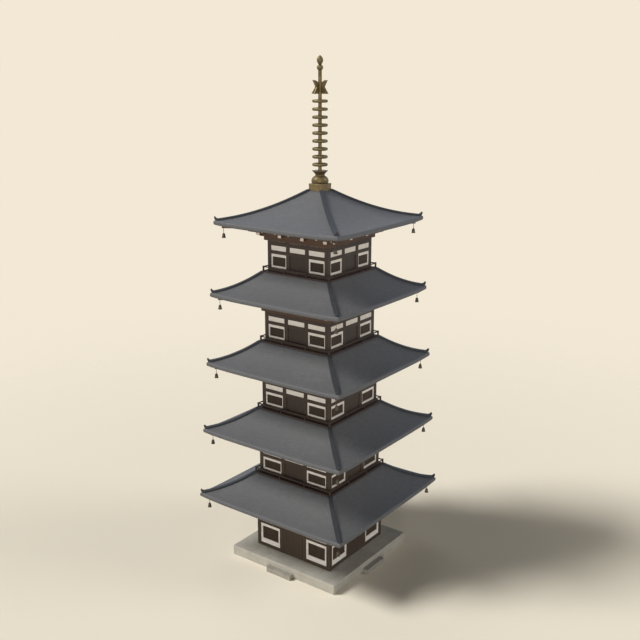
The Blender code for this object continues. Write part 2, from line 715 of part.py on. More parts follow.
def build_spire(bronze):
    base = eave_height(STOREYS - 1) + EAVE_TOP + TOP_ROOF_SLOPE + TOP_ROOF_SWEEP + FIT_GAP
    half = BASE_BOX_HALF
    mesh = joined_blocks("base box", [block(-half, half, -half, half, base, BASE_BOX_TOP)])
    add_object("spire_base_box", mesh, bronze)
    profiles = (
        ("spire_inverted_bowl", BOWL_PROFILE),
        ("spire_flared_collar", COLLAR_PROFILE),
        ("spire_jewels", JEWEL_PROFILE),
    )
    for name, profile in profiles:
        radius, foot = profile[0]
        points, faces = spun(((radius, foot + FIT_GAP), *profile[1:]), SPIRE_SEGMENTS)
        mesh = mesh_from(name, points, faces)
        shade_smooth(mesh)
        add_object(name, mesh, bronze)

    ends = (COLLAR_TOP + FIT_GAP, FIN_BOTTOM - FIT_GAP)
    points, faces = spun([(MAST_RADIUS, height) for height in ends], SPIRE_SEGMENTS)
    mesh = mesh_from("mast", points, faces)
    shade_smooth(mesh)
    mast = add_object("spire_ringed_mast", mesh, bronze)
    join_with(mast, build_rings())

    points, faces = spun(((MAST_RADIUS, FIN_BOTTOM), (MAST_RADIUS, FIN_TOP)), SPIRE_SEGMENTS)
    mesh = mesh_from("fin sleeve", points, faces)
    shade_smooth(mesh)
    sleeve = add_object("spire_flame_fins", mesh, bronze)
    for turn in range(2):
        join_with(sleeve, build_fin_pair(turn))


def build_rings():
    """Nine equal hoops on spokes round the mast."""
    points, faces = [], []
    segments = HOOP_SEGMENTS
    for index in range(RINGS):
        height = FIRST_RING + RING_PITCH * index
        first = len(points)
        for i in range(segments):
            angle = 2.0 * math.pi * i / segments
            for out, up in HOOP_SECTION:
                radius = HOOP_RADIUS + out * HOOP_TUBE
                points.append((radius * math.cos(angle), radius * math.sin(angle), height + up * HOOP_TUBE))
        count = len(HOOP_SECTION)
        for i in range(segments):
            for j in range(count):
                a, b = first + i * count, first + (i + 1) % segments * count
                faces.append((a + j, a + (j + 1) % count, b + (j + 1) % count, b + j))
    mesh = mesh_from("hoops", points, faces)
    shade_smooth(mesh)
    hoops = add_object("spire_hoops", mesh, None)
    spokes = []
    width, tall = SPOKE_WIDTH / 2.0, SPOKE_HEIGHT / 2.0
    reach = HOOP_RADIUS
    for index in range(RINGS):
        height = FIRST_RING + RING_PITCH * index
        spokes.append(block(-reach, reach, -width, width, height - tall, height + tall))
        spokes.append(block(-width, width, -reach, reach, height - tall, height + tall))
    join_with(hoops, add_object("spire_spokes", joined_blocks("spokes", spokes), None))
    return hoops


def build_fin_pair(turn):
    """Two opposite flat fins, broad at the foot and horned at the top, cut from one plate."""
    outline = [Vector((out, 0.0, FIN_BOTTOM + up)) for out, up in FIN_OUTLINE]
    mirrored = [Vector((-point.x, 0.0, point.z)) for point in reversed(outline[1:-1])]
    loop = outline + mirrored
    count = len(loop)
    points = []
    for side in (-0.5, 0.5):
        points += [point + Vector((0.0, side * FIN_THICKNESS, 0.0)) for point in loop]
    faces = [tuple(range(count)), tuple(range(count, 2 * count))]
    for i in range(count):
        j = (i + 1) % count
        faces.append((i, j, count + j, count + i))
    fins = add_object("spire_fins_" + str(turn), mesh_from("fins", points, faces), None)
    fins.rotation_euler = (0.0, 0.0, turn * math.pi / 2.0)
    return fins


for old in list(bpy.data.objects):
    bpy.data.objects.remove(old, do_unlink=True)

STONE = make_material("pale stone", "A39D8C", 0.85)
TIMBER = make_material("dark brown timber", "3F342A", 0.6)
DARK_DOOR = make_material("door boards", "3C3029", 0.6)
BRACKET_TIMBER = make_material("warm brown timber", "4F3A2C", 0.6)
PLASTER = make_material("white plaster", "C9BEB2", 0.9)
TILE = make_material("slate grey tile", "5C5E61", 0.6)
BRONZE = make_material("dull bronze", "6B5E3D", 0.4, 0.8)

build_platform(STONE)
build_ground_walls(TIMBER, PLASTER)
build_doors(DARK_DOOR)
for level in range(STOREYS):
    if level:
        build_floor(level, TIMBER)
        build_upper_walls(level, TIMBER, PLASTER)
    build_brackets(level, BRACKET_TIMBER)
    build_roof(level, TILE)
build_spire(BRONZE)
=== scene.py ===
# Looks of a five-storey timber pagoda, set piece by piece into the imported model's frame.
# Metres, Z up, the centre of the platform's foot at the origin, the front facing -Y.
import math
from itertools import product

import bmesh
import bpy
from mathutils import Matrix, Vector


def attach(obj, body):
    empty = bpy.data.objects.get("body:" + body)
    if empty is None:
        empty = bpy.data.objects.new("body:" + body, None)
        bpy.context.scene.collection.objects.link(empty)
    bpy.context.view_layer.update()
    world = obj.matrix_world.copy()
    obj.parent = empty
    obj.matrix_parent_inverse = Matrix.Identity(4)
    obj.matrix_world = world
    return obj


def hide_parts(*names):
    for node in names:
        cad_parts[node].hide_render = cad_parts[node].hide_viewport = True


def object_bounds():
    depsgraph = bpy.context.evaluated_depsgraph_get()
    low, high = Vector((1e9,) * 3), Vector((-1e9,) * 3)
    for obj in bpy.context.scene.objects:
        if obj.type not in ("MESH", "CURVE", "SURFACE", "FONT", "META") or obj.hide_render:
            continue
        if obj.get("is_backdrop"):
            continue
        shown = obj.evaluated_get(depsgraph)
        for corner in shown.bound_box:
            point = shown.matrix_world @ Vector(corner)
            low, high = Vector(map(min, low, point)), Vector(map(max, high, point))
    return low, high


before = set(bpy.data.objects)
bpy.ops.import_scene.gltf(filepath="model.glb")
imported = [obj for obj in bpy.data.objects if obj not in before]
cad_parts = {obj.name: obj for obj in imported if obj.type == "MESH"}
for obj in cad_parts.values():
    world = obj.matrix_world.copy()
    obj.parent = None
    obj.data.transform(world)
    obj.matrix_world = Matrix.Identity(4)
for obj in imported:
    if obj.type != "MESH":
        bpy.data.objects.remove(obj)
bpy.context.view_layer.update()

# Stone platform and steps.
# A low mass of dressed tuff slabs bedded in thin joints, with one block step in the middle of each side.
# The arris is worn round by feet, and rain has left the slabs a little uneven in tone.
SLAB = 1.0
BED_JOINT = 0.42         # height of the bed joint round the platform
JOINT_FADE = 0.012       # a joint fades out this far from its middle
JOINT_CORE = 0.005       # and is whole up to here


def linear(colour):
    """An sRGB hex colour as the linear colour that shaders want."""
    parts = [int(colour[i:i + 2], 16) / 255.0 for i in (0, 2, 4)]
    parts = [part / 12.92 if part <= 0.04045 else ((part + 0.055) / 1.055) ** 2.4 for part in parts]
    return (*parts, 1.0)


def add(tree, kind, inputs=None, out=0, **settings):
    """Adds a node, links or sets its inputs, and gives back the wanted output socket."""
    node = tree.nodes.new(kind)
    for name, value in settings.items():
        setattr(node, name, value)
    for key, value in (inputs or {}).items():
        if isinstance(value, bpy.types.NodeSocket):
            tree.links.new(value, node.inputs[key])
        else:
            node.inputs[key].default_value = value
    return node.outputs[out]


def new_material(name, roughness, metallic=0.0):
    """A plain finish, with its node tree and its shader."""
    material = bpy.data.materials.new(name)
    material.use_nodes = True
    shader = material.node_tree.nodes["Principled BSDF"]
    shader.inputs["Roughness"].default_value = roughness
    shader.inputs["Metallic"].default_value = metallic
    return material, material.node_tree, shader


def carry_over(nodes, material):
    """CAD nodes whose shape is right keep it and get a better material."""
    for name in nodes:
        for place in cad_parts[name].material_slots:
            place.material = material


def dressed_tuff(name, light, dark):
    """Dressed tuff: matt and fine-grained, so it shades softly and shows no gloss at all.

    The grit is about 2 mm in the real stone and is drawn at 20 mm."""
    material, tree, shader = new_material(name, 0.88)
    place = add(tree, "ShaderNodeTexCoord", out="Object")
    blotches = add(tree, "ShaderNodeTexNoise", {"Vector": place, "Scale": 1.3, "Detail": 5.0})
    blotches = add(tree, "ShaderNodeMapRange", {0: blotches, 1: 0.35, 2: 0.65})
    grit = add(tree, "ShaderNodeTexNoise", {"Vector": place, "Scale": 48.0, "Detail": 3.0})
    tone = add(tree, "ShaderNodeMix", {0: blotches, 6: linear(light), 7: linear(dark)}, 2, data_type="RGBA")
    speck = add(tree, "ShaderNodeMapRange", {0: grit, 1: 0.3, 2: 0.7, 3: 0.0, 4: 0.16})
    tone = add(tree, "ShaderNodeMix", {0: speck, 6: tone, 7: linear("8B8475")}, 2, data_type="RGBA")
    axes = add(tree, "ShaderNodeSeparateXYZ", {0: place}).node
    joints = []
    for axis in "XY":
        swing = add(tree, "ShaderNodeMath", {0: axes.outputs[axis], 1: SLAB / 2.0}, operation="PINGPONG")
        edge = {0: swing, 1: SLAB / 2.0 - JOINT_FADE, 2: SLAB / 2.0 - JOINT_CORE}
        joints.append(add(tree, "ShaderNodeMapRange", edge))
    drop = add(tree, "ShaderNodeMath", {0: axes.outputs["Z"], 1: BED_JOINT}, operation="SUBTRACT")
    drop = add(tree, "ShaderNodeMath", {0: drop}, operation="ABSOLUTE")
    joints.append(add(tree, "ShaderNodeMapRange", {0: drop, 1: JOINT_FADE, 2: JOINT_CORE}))
    joint = add(tree, "ShaderNodeMath", {0: joints[0], 1: joints[1]}, operation="MAXIMUM")
    joint = add(tree, "ShaderNodeMath", {0: joint, 1: joints[2]}, operation="MAXIMUM")
    joint = add(tree, "ShaderNodeMath", {0: joint, 1: 0.38}, operation="MULTIPLY")
    tone = add(tree, "ShaderNodeMix", {0: joint, 6: tone, 7: linear("6E675A")}, 2, data_type="RGBA")
    tree.links.new(tone, shader.inputs["Base Color"])
    relief = add(tree, "ShaderNodeMath", {0: grit, 1: joint}, operation="SUBTRACT")
    relief = add(tree, "ShaderNodeBump", {"Height": relief, "Distance": 0.006, "Strength": 0.6})
    tree.links.new(relief, shader.inputs["Normal"])
    return material


carry_over(["stone_platform"], dressed_tuff("dressed tuff", "B0AB9F", "A39E92"))
# The steps take a darker tuff than the platform: painted shade for the shadow they sit in at the platform's foot.
carry_over(["front_step", "right_step", "back_step", "left_step"], dressed_tuff("step tuff with painted shade", "9B968A", "8D887C"))

# Timber frames of the five storeys.
# Squared softwood posts stand on a sill; rails and head beams are tenoned in between them.
# The sawn faces were oiled dark brown, and every arris is taken off with a plane.
STOREYS = ("ground", "second", "third", "fourth", "fifth")
WALL_HALF, WALL_TAPER = 2.870, 0.163
EAVE, STOREY_RISE = 4.330, 4.316
QUARTER = math.pi / 2.0
POST = 0.26
FRAME_DEPTH = 0.14
ARRIS = 0.010
SETBACK = 0.006          # rails stand this far behind the faces of the posts
# Heights over the eave line of a storey.
FRAME_TOP = -1.0553
HEAD_BEAM = (-1.350, -1.100)
DOOR_RAIL = (-1.850, -1.645)
UPPER_SILL = (-2.8997, -2.700)
# Heights over the ground, in the lowest storey.
GROUND_FLOOR = 0.6303
THRESHOLD_TOP = 0.760
GROUND_SILL_TOP = 0.860
WINDOW_HEAD = (2.220, 2.360)
DOOR_HEAD = (2.560, 2.740)


def wall_half(storey):
    return WALL_HALF - WALL_TAPER * storey


def eave_height(storey):
    return EAVE + STOREY_RISE * storey


def storeys(first=0):
    """Number, name, half width of the walls and height of the eave line, storey by storey."""
    for storey in range(first, len(STOREYS)):
        yield storey, STOREYS[storey], wall_half(storey), eave_height(storey)


def bays(storey):
    """Left edges of the four posts of a side, and the clear spans between them."""
    outer = wall_half(storey)
    step = (2.0 * outer - POST) / 3.0
    posts = [-outer + step * i for i in range(4)]
    return posts, [(posts[i] + POST, posts[i + 1]) for i in range(3)]


def add_timber(builder, low, high, grain, arris=ARRIS):
    """One squared timber between two corners, its arrises planed off and its grain along one axis."""
    layer = builder.loops.layers.uv.verify()
    middle = [(low[i] + high[i]) / 2.0 for i in range(3)]
    half = [(high[i] - low[i]) / 2.0 for i in range(3)]
    arris = min(arris, *(value * 0.45 for value in half))
    corners = {}
    for signs in product((-1, 1), repeat=3):
        for axis in range(3):
            point = [middle[i] + signs[i] * (half[i] - (0.0 if i == axis else arris)) for i in range(3)]
            corners[signs, axis] = builder.verts.new(point)

    def corner(axis, signs, side):
        """The point of a corner that lies on one side; its signs are counted from an axis on."""
        return corners[signs[-axis:] + signs[:-axis], side]

    faces = []
    for axis in range(3):
        b, c = (axis + 1) % 3, (axis + 2) % 3
        for sa in (-1, 1):
            loop = [corner(axis, (sa, sb, sc), axis) for sb, sc in ((-1, -1), (1, -1), (1, 1), (-1, 1))]
            faces.append(loop if sa > 0 else loop[::-1])
        for sb, sc in product((-1, 1), repeat=2):
            loop = [corner(axis, (sa, sb, sc), side) for sa, side in ((-1, b), (1, b), (1, c), (-1, c))]
            faces.append(loop if sb * sc > 0 else loop[::-1])
    for signs in product((-1, 1), repeat=3):
        loop = [corners[signs, axis] for axis in range(3)]
        faces.append(loop if math.prod(signs) > 0 else loop[::-1])
    # Every timber takes its grain from another place in the pattern.
    shift = 3.7 * math.sin(12.9 * middle[0] + 78.2 * middle[1] + 37.7 * middle[2])
    for loop in faces:
        face = builder.faces.new(loop)
        face.normal_update()
        across = max(range(3), key=lambda i: abs(face.normal[i]))
        if across == grain:
            pair = ((grain + 1) % 3, (grain + 2) % 3)
        else:
            pair = (grain, 3 - grain - across)
        for end in face.loops:
            end[layer].uv = (end.vert.co[pair[0]] + shift, end.vert.co[pair[1]] + shift)


def on_four_sides(builder):
    """Copies what stands on the front to the other three sides."""
    front = builder.verts[:] + builder.edges[:] + builder.faces[:]
    for turn in (1, 2, 3):
        copy = bmesh.ops.duplicate(builder, geom=front)["geom"]
        points = [item for item in copy if isinstance(item, bmesh.types.BMVert)]
        spin = Matrix.Rotation(turn * QUARTER, 3, "Z")
        bmesh.ops.rotate(builder, verts=points, cent=(0.0, 0.0, 0.0), matrix=spin)


def new_object(name, data):
    """Makes an object of a mesh, lamp or camera and puts it in the scene."""
    item = bpy.data.objects.new(name, data)
    bpy.context.scene.collection.objects.link(item)
    return item


def piece_from(name, builder, material, nodes=(), smooth=None, body="pagoda"):
    """Turns a builder into a finished piece that rides on a body and takes its finish from a slot."""
    if smooth is not None:
        bmesh.ops.recalc_face_normals(builder, faces=builder.faces)
    mesh = bpy.data.meshes.new(name)
    builder.to_mesh(mesh)
    builder.free()
    mesh.materials.append(material)
    if smooth is not None:
        mesh.polygons.foreach_set("use_smooth", [True] * len(mesh.polygons))
        mesh.set_sharp_from_angle(angle=math.radians(smooth))
    piece = new_object(name, mesh)
    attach(piece, body)
    if nodes:
        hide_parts(*nodes)


def oiled_timber(name, light, dark, roughness):
    """Sawn softwood under dark oil: dull sheen, with streaks along the grain where the oil went in deeper.

    Real growth rings are 3 to 6 mm apart; the streaks are drawn about 25 mm apart so that they show."""
    material, tree, shader = new_material(name, roughness)
    shader.inputs["Specular IOR Level"].default_value = 0.30
    along = add(tree, "ShaderNodeTexCoord", out="UV")
    along = add(tree, "ShaderNodeMapping", {"Vector": along, "Scale": (0.9, 38.0, 1.0)})
    streaks = add(tree, "ShaderNodeTexNoise", {"Vector": along, "Scale": 1.0, "Detail": 4.0, "Distortion": 0.4})
    streaks = add(tree, "ShaderNodeMapRange", {0: streaks, 1: 0.3, 2: 0.7})
    place = add(tree, "ShaderNodeTexCoord", out="Object")
    patches = add(tree, "ShaderNodeTexNoise", {"Vector": place, "Scale": 0.8, "Detail": 3.0})
    patches = add(tree, "ShaderNodeMapRange", {0: patches, 1: 0.35, 2: 0.65})
    share = add(tree, "ShaderNodeMix", {0: 0.35, 2: streaks, 3: patches})
    tone = add(tree, "ShaderNodeMix", {0: share, 6: linear(dark), 7: linear(light)}, 2, data_type="RGBA")
    tree.links.new(tone, shader.inputs["Base Color"])
    gloss = add(tree, "ShaderNodeMapRange", {0: streaks, 3: roughness - 0.08, 4: roughness + 0.10})
    tree.links.new(gloss, shader.inputs["Roughness"])
    relief = add(tree, "ShaderNodeBump", {"Height": streaks, "Distance": 0.003, "Strength": 0.5})
    tree.links.new(relief, shader.inputs["Normal"])
    return material


frame_timber = oiled_timber("oiled cedar", "493C2E", "372B20", 0.62)
for storey, label, outer, eave in storeys():
    posts, spans = bays(storey)
    builder = bmesh.new()
    face, back = -outer, -outer + FRAME_DEPTH - 0.001
    top = eave + FRAME_TOP
    floor = eave + UPPER_SILL[0] if storey else GROUND_FLOOR
    sill = eave + UPPER_SILL[1] if storey else floor
    # The first post stands on the corner and is seen from two sides, so it keeps its full depth.
    for left, far in zip(posts, (face + POST, back, back)):
        add_timber(builder, (left, face, sill), (left + POST, far, top), 2)
    if storey:
        add_timber(builder, (-outer, face, floor), (outer - FRAME_DEPTH, back, sill), 0)
        rails = [(span, eave + DOOR_RAIL[0], eave + DOOR_RAIL[1]) for span in spans]
    else:
        rails = [(span, *DOOR_HEAD) for span in spans]
        rails += [(spans[i], *WINDOW_HEAD) for i in (0, 2)]
        rails += [(spans[i], floor, GROUND_SILL_TOP) for i in (0, 2)]
        rails.append((spans[1], floor, THRESHOLD_TOP))
    rails += [(span, eave + HEAD_BEAM[0], eave + HEAD_BEAM[1]) for span in spans]
    for span, low, high in rails:
        add_timber(builder, (span[0], face + SETBACK, low), (span[1], back, high), 0)
    on_four_sides(builder)
    piece_from(label + "_storey_timbers", builder, frame_timber, [label + "_storey_frame"])

# Upper doors.
# Closed pairs of plank leaves between the middle posts of the four upper storeys.
# Each leaf is three planed boards, butted with a small V between them, in the same dark oil.
UPPER_DOOR_BACK = 0.060
DOOR_BOARDS = 6
DOOR_PLAY = 0.001        # left free round every board
door_timber = oiled_timber("oiled door boards", "44372A", "352A20", 0.60)
for storey, label, outer, eave in storeys(1):
    left, right = bays(storey)[1][1]
    width = (right - left) / DOOR_BOARDS
    face, back = -outer + UPPER_DOOR_BACK, -outer + FRAME_DEPTH - 0.002
    foot, top = eave + UPPER_SILL[1] + DOOR_PLAY, eave + DOOR_RAIL[0] - DOOR_PLAY
    builder = bmesh.new()
    for i in range(DOOR_BOARDS):
        low = (left + width * i + DOOR_PLAY, face, foot)
        add_timber(builder, low, (left + width * (i + 1) - DOOR_PLAY, back, top), 2, 0.003)
    on_four_sides(builder)
    piece_from(label + "_storey_door_boards", builder, door_timber)

# Plaster walls.
# Lime plaster on clay, floated flat between the timbers and over the walls behind them.
# It is dead matt, slightly warm, and cloudy where the trowel turned.
HAIRLINE = 0.0005        # left between a plaster fillet or a board and what stands beside it
plaster, tree, shader = new_material("lime plaster", 0.92)
place = add(tree, "ShaderNodeTexCoord", out="Object")
clouds = add(tree, "ShaderNodeTexNoise", {"Vector": place, "Scale": 2.6, "Detail": 4.0, "Distortion": 0.6})
clouds = add(tree, "ShaderNodeMapRange", {0: clouds, 1: 0.35, 2: 0.65})
tone = add(tree, "ShaderNodeMix", {0: clouds, 6: linear("E8E1D9"), 7: linear("DFD8CE")}, 2, data_type="RGBA")
tree.links.new(tone, shader.inputs["Base Color"])
float_marks = add(tree, "ShaderNodeTexNoise", {"Vector": place, "Scale": 22.0, "Detail": 3.0})
relief = add(tree, "ShaderNodeBump", {"Height": float_marks, "Distance": 0.003, "Strength": 0.4})
tree.links.new(relief, shader.inputs["Normal"])
carry_over([label + "_storey_plaster_walls" for label in STOREYS[1:]], plaster)
carry_over([label + "_corner_wall" for label in ("front_right", "back_right", "back_left", "front_left")], plaster)
carry_over(["ground_storey_upper_wall"], plaster)

# A narrow fillet of the same plaster closes the gap between head beam and brackets in every bay.
for storey, label, outer, eave in storeys():
    builder = bmesh.new()
    for left, right in bays(storey)[1]:
        low = (left + HAIRLINE, -outer + 0.020, eave + HEAD_BEAM[1] + HAIRLINE)
        high = (right - HAIRLINE, -outer + FRAME_DEPTH - 0.001, eave + FRAME_TOP - 0.0002)
        add_timber(builder, low, high, 0, 0.004)
    on_four_sides(builder)
    piece_from(label + "_storey_plaster_fillets", builder, plaster)

# Window bars.
# Eight small windows a storey, two on each side, closed by upright square bars close together.
# The bars are let into the opening from behind, in the same oiled cedar as the frame.
BAR = 0.058
BAR_PITCH = 0.094
BAR_BACK = 0.075         # face of the bars behind the face of the posts
# Margin beside a window, its foot and its top: over the ground, and over the eave line.
GROUND_WINDOW = (0.130, 1.180, 2.030)
UPPER_WINDOW = (0.070, -2.560, -2.015)


def new_tree(name, inputs):
    """An empty node tree for geometry, with named inputs for its sizes."""
    tree = bpy.data.node_groups.new(name, "GeometryNodeTree")
    tree.interface.new_socket("Geometry", in_out="INPUT", socket_type="NodeSocketGeometry")
    for label, kind in inputs:
        tree.interface.new_socket(label, in_out="INPUT", socket_type="NodeSocket" + kind)
    tree.interface.new_socket("Geometry", in_out="OUTPUT", socket_type="NodeSocketGeometry")
    return tree, tree.nodes.new("NodeGroupInput").outputs


def close_tree(tree, geometry, material):
    """Makes real meshes of a tree's instances, gives them their material and ends the tree."""
    geometry = add(tree, "GeometryNodeRealizeInstances", {0: geometry})
    geometry = add(tree, "GeometryNodeSetMaterial", {"Geometry": geometry, "Material": material})
    tree.links.new(geometry, tree.nodes.new("NodeGroupOutput").inputs[0])


def grow(tree, points, edges, values, numbers=None):
    """Runs a tree over a few guiding points and lines, and gives back the result in a builder."""
    guide = bpy.data.meshes.new("guide")
    guide.from_pydata([tuple(point) for point in points], edges, [])
    for label, series in (numbers or {}).items():
        guide.attributes.new(label, "FLOAT", "POINT").data.foreach_set("value", series)
    carrier = new_object("guide", guide)
    work = carrier.modifiers.new("work", "NODES")
    work.node_group = tree
    for item in tree.interface.items_tree:
        if item.item_type == "SOCKET" and item.in_out == "INPUT" and item.name in values:
            work[item.identifier] = values[item.name]
    graph = bpy.context.evaluated_depsgraph_get()
    result = bpy.data.meshes.new_from_object(carrier.evaluated_get(graph))
    carrier.modifiers.remove(work)
    bpy.data.objects.remove(carrier)
    builder = bmesh.new()
    builder.from_mesh(result)
    bpy.data.meshes.remove(result)
    bpy.data.meshes.remove(guide)
    return builder


def four_times(lines):
    """Points and edges of open lines on the front, repeated on the other three sides."""
    points, edges = [], []
    for turn in range(4):
        spin = Matrix.Rotation(turn * QUARTER, 3, "Z")
        for line in lines:
            for i, point in enumerate(line):
                points.append(spin @ Vector(point))
                if i:
                    edges.append((len(points) - 2, len(points) - 1))
    return points, edges


inputs = (("Bars", "Int"), ("Size", "Float"), ("Height", "Float"), ("Timber", "Material"))
bar_tree, given = new_tree("upright bars", inputs)
rows = add(bar_tree, "GeometryNodeMeshToCurve", {"Mesh": given["Geometry"]})
rows = add(bar_tree, "GeometryNodeResampleCurve", {"Curve": rows, "Count": given["Bars"]}, mode="COUNT")
size = add(bar_tree, "ShaderNodeCombineXYZ", {0: given["Size"], 1: given["Size"], 2: given["Height"]})
bar = add(bar_tree, "GeometryNodeMeshCube", {"Size": size})
flat = {"Geometry": bar, "Name": "UVMap", "Value": add(bar_tree, "GeometryNodeInputPosition")}
bar = add(bar_tree, "GeometryNodeStoreNamedAttribute", flat, data_type="FLOAT2", domain="CORNER")
bars = add(bar_tree, "GeometryNodeInstanceOnPoints", {"Points": rows, "Instance": bar})
close_tree(bar_tree, bars, given["Timber"])

for storey, label, outer, eave in storeys():
    spans = bays(storey)[1]
    margin, low, high = UPPER_WINDOW if storey else GROUND_WINDOW
    if storey:
        low, high = eave + low, eave + high
    depth, middle = -outer + BAR_BACK + BAR / 2.0, (low + high) / 2.0
    lines = []
    for left, right in (spans[0], spans[2]):
        left, right = left + margin, right - margin
        count = round((right - left) / BAR_PITCH)
        pitch = (right - left) / count
        lines.append([(left + pitch / 2.0, depth, middle), (right - pitch / 2.0, depth, middle)])
    values = {"Bars": count, "Size": BAR, "Height": high - low, "Timber": frame_timber}
    builder = grow(bar_tree, *four_times(lines), values)
    piece_from(label + "_storey_window_bars", builder, frame_timber)

# Ground storey doors.
# Four pairs of plank leaves, each of three boards on edge pivots let into threshold and head.
# They swing out over the platform; their oil is a shade darker than the frame's.
LEAF_THICKNESS = 0.055
LEAF_LOW, LEAF_HIGH = 0.768, 2.552
LEAF_BOARDS = 3
HEEL = 0.016             # from the post to the leaf
LOCK = 0.004             # from the middle of the doorway to the leaf
PIVOT_IN = 0.030
PIVOT_RADIUS = 0.018
PIN_REACH = 0.0075       # a pin stands this far out of either end of its leaf
jamb = bays(0)[1][1][1]
face = -wall_half(0)
for turn, side in enumerate(("front", "right", "back", "left")):
    spin = Matrix.Rotation(turn * QUARTER, 3, "Z")
    for hand, sign in (("left", -1.0), ("right", 1.0)):
        heel, lock = sign * (jamb - HEEL), sign * LOCK
        width = (lock - heel) / LEAF_BOARDS
        builder = bmesh.new()
        for i in range(LEAF_BOARDS):
            near, far = sorted((heel + width * i, heel + width * (i + 1)))
            high = (far - HAIRLINE, face + LEAF_THICKNESS, LEAF_HIGH)
            add_timber(builder, (near + HAIRLINE, face, LEAF_LOW), high, 2, 0.006)
        pin = (sign * (jamb - HEEL - PIVOT_IN), face + LEAF_THICKNESS / 2.0, (LEAF_LOW + LEAF_HIGH) / 2.0)
        bmesh.ops.create_cone(
            builder, cap_ends=True, segments=16, radius1=PIVOT_RADIUS, radius2=PIVOT_RADIUS,
            depth=LEAF_HIGH - LEAF_LOW + 2.0 * PIN_REACH, matrix=Matrix.Translation(pin),
        )
        bmesh.ops.rotate(builder, verts=builder.verts, cent=(0.0, 0.0, 0.0), matrix=spin)
        door = side + "_door_" + hand
        piece_from(door + "_boards", builder, door_timber, [door + "_leaf"], body=door + "_leaf")

# Brackets, arms and tail rafters under each roof.
# Three courses of heavy timber ring the wall head in two steps; arms and small rafters reach out through them.
# The wood is a warmer, lighter brown than the frame, and the ends of arms and rafters are painted white.
RING_OUT = 0.320
COURSES = ((0.155, -1.055, -0.810), (RING_OUT, -0.810, -0.537), (RING_OUT, -0.533, -0.260))
ARM_LINE = 0.215         # the outer arms stand this far outside the corner of the walls
ARMS = {"count": 4, "width": 0.24, "out": 0.610, "foot": -0.730, "top": -0.565, "root": 0.0, "arris": 0.012}
TAILS = {"count": 7, "width": 0.120, "out": 0.800, "foot": -0.530, "top": -0.350, "root": 0.1, "arris": 0.010}
PAINT = 0.012            # thickness of the painted cap on an end
CAP_INSET = 0.004
bracket_timber = oiled_timber("oiled cypress", "59422F", "453123", 0.62)
# Lime paint on end grain: chalky and flat, and thinner in places where the brush ran dry.
end_paint, tree, shader = new_material("lime end paint", 0.85)
place = add(tree, "ShaderNodeTexCoord", out="Object")
brushing = add(tree, "ShaderNodeTexNoise", {"Vector": place, "Scale": 30.0, "Detail": 3.0})
brushing = add(tree, "ShaderNodeMapRange", {0: brushing, 1: 0.3, 2: 0.7})
tone = add(tree, "ShaderNodeMix", {0: brushing, 6: linear("DACDC0"), 7: linear("C8BAAC")}, 2, data_type="RGBA")
tree.links.new(tone, shader.inputs["Base Color"])


def spaced(start, end, steps):
    """Evenly spaced values from start to end, both included."""
    return [start + (end - start) * i / steps for i in range(steps + 1)]


def add_row(builder, caps, storey, line, count, width, out, foot, top, root, arris):
    """A row of timbers that reach out of the front wall, each with a painted cap on its end."""
    wall, eave = -wall_half(storey), eave_height(storey)
    for x in spaced(-line, line, count - 1):
        low = (x - width / 2.0, wall - out + PAINT, eave + foot)
        high = (x + width / 2.0, wall - root, eave + top)
        add_timber(builder, low, high, 1, arris)
        low = (low[0] + CAP_INSET, wall - out, low[2] + CAP_INSET)
        high = (high[0] - CAP_INSET, wall - out + PAINT + arris + 0.002, high[2] - CAP_INSET)
        add_timber(caps, low, high, 1, arris / 2.0)


for storey, label, outer, eave in storeys():
    builder = bmesh.new()
    caps = bmesh.new()
    for out, low, high in COURSES:
        edge = outer + out
        far = (edge - POST - out, -outer + POST, eave + high)
        add_timber(builder, (-edge, -edge, eave + low), far, 0, 0.014)
    add_row(builder, caps, storey, outer + ARM_LINE, **ARMS)
    add_row(builder, caps, storey, outer + TAILS["out"] - TAILS["width"] / 2.0, **TAILS)
    on_four_sides(builder)
    on_four_sides(caps)
    node = label + "_storey_brackets"
    piece_from(label + "_storey_bracket_timbers", builder, bracket_timber, [node])
    piece_from(label + "_storey_painted_ends", caps, end_paint)

# Eave rafters and hip rafters.
# Slim parallel rafters carry the boarded underside of the eaves, and one stout rafter runs out under each hip.
# They are sawn from the same cypress as the brackets and follow the slight lift of the corners.
TIP_HALF, TIP_TAPER = 5.412, 0.244
EAVE_ROUND = 0.10        # radius of the eave's rounded edge
SOFFIT, SOFFIT_RISE = -0.2597, 0.0697
CORNER_LIFT, LIFT_POWER = 0.084, 5.0
EAVE_RAFTER = 0.070
EAVE_RAFTER_PITCH = 0.300
RAFTER_BED = 0.006       # let into the boards by this much
HIP_CLEAR = 0.12         # from a rafter's root to the line of the hip
SHORTEST = 0.15
HIP_WIDTH, HIP_DEPTH = 0.180, 0.100


def tip_half(storey):
    return TIP_HALF - TIP_TAPER * storey


def soffit_level(storey, half):
    """Height of the underside of the eaves at a half width, and its share of the corners' lift."""
    inner, outer = wall_half(storey) + RING_OUT, tip_half(storey) - EAVE_ROUND
    share = min(max((half - inner) / (outer - inner), 0.0), 1.0)
    return eave_height(storey) + SOFFIT + SOFFIT_RISE * share, share ** 2


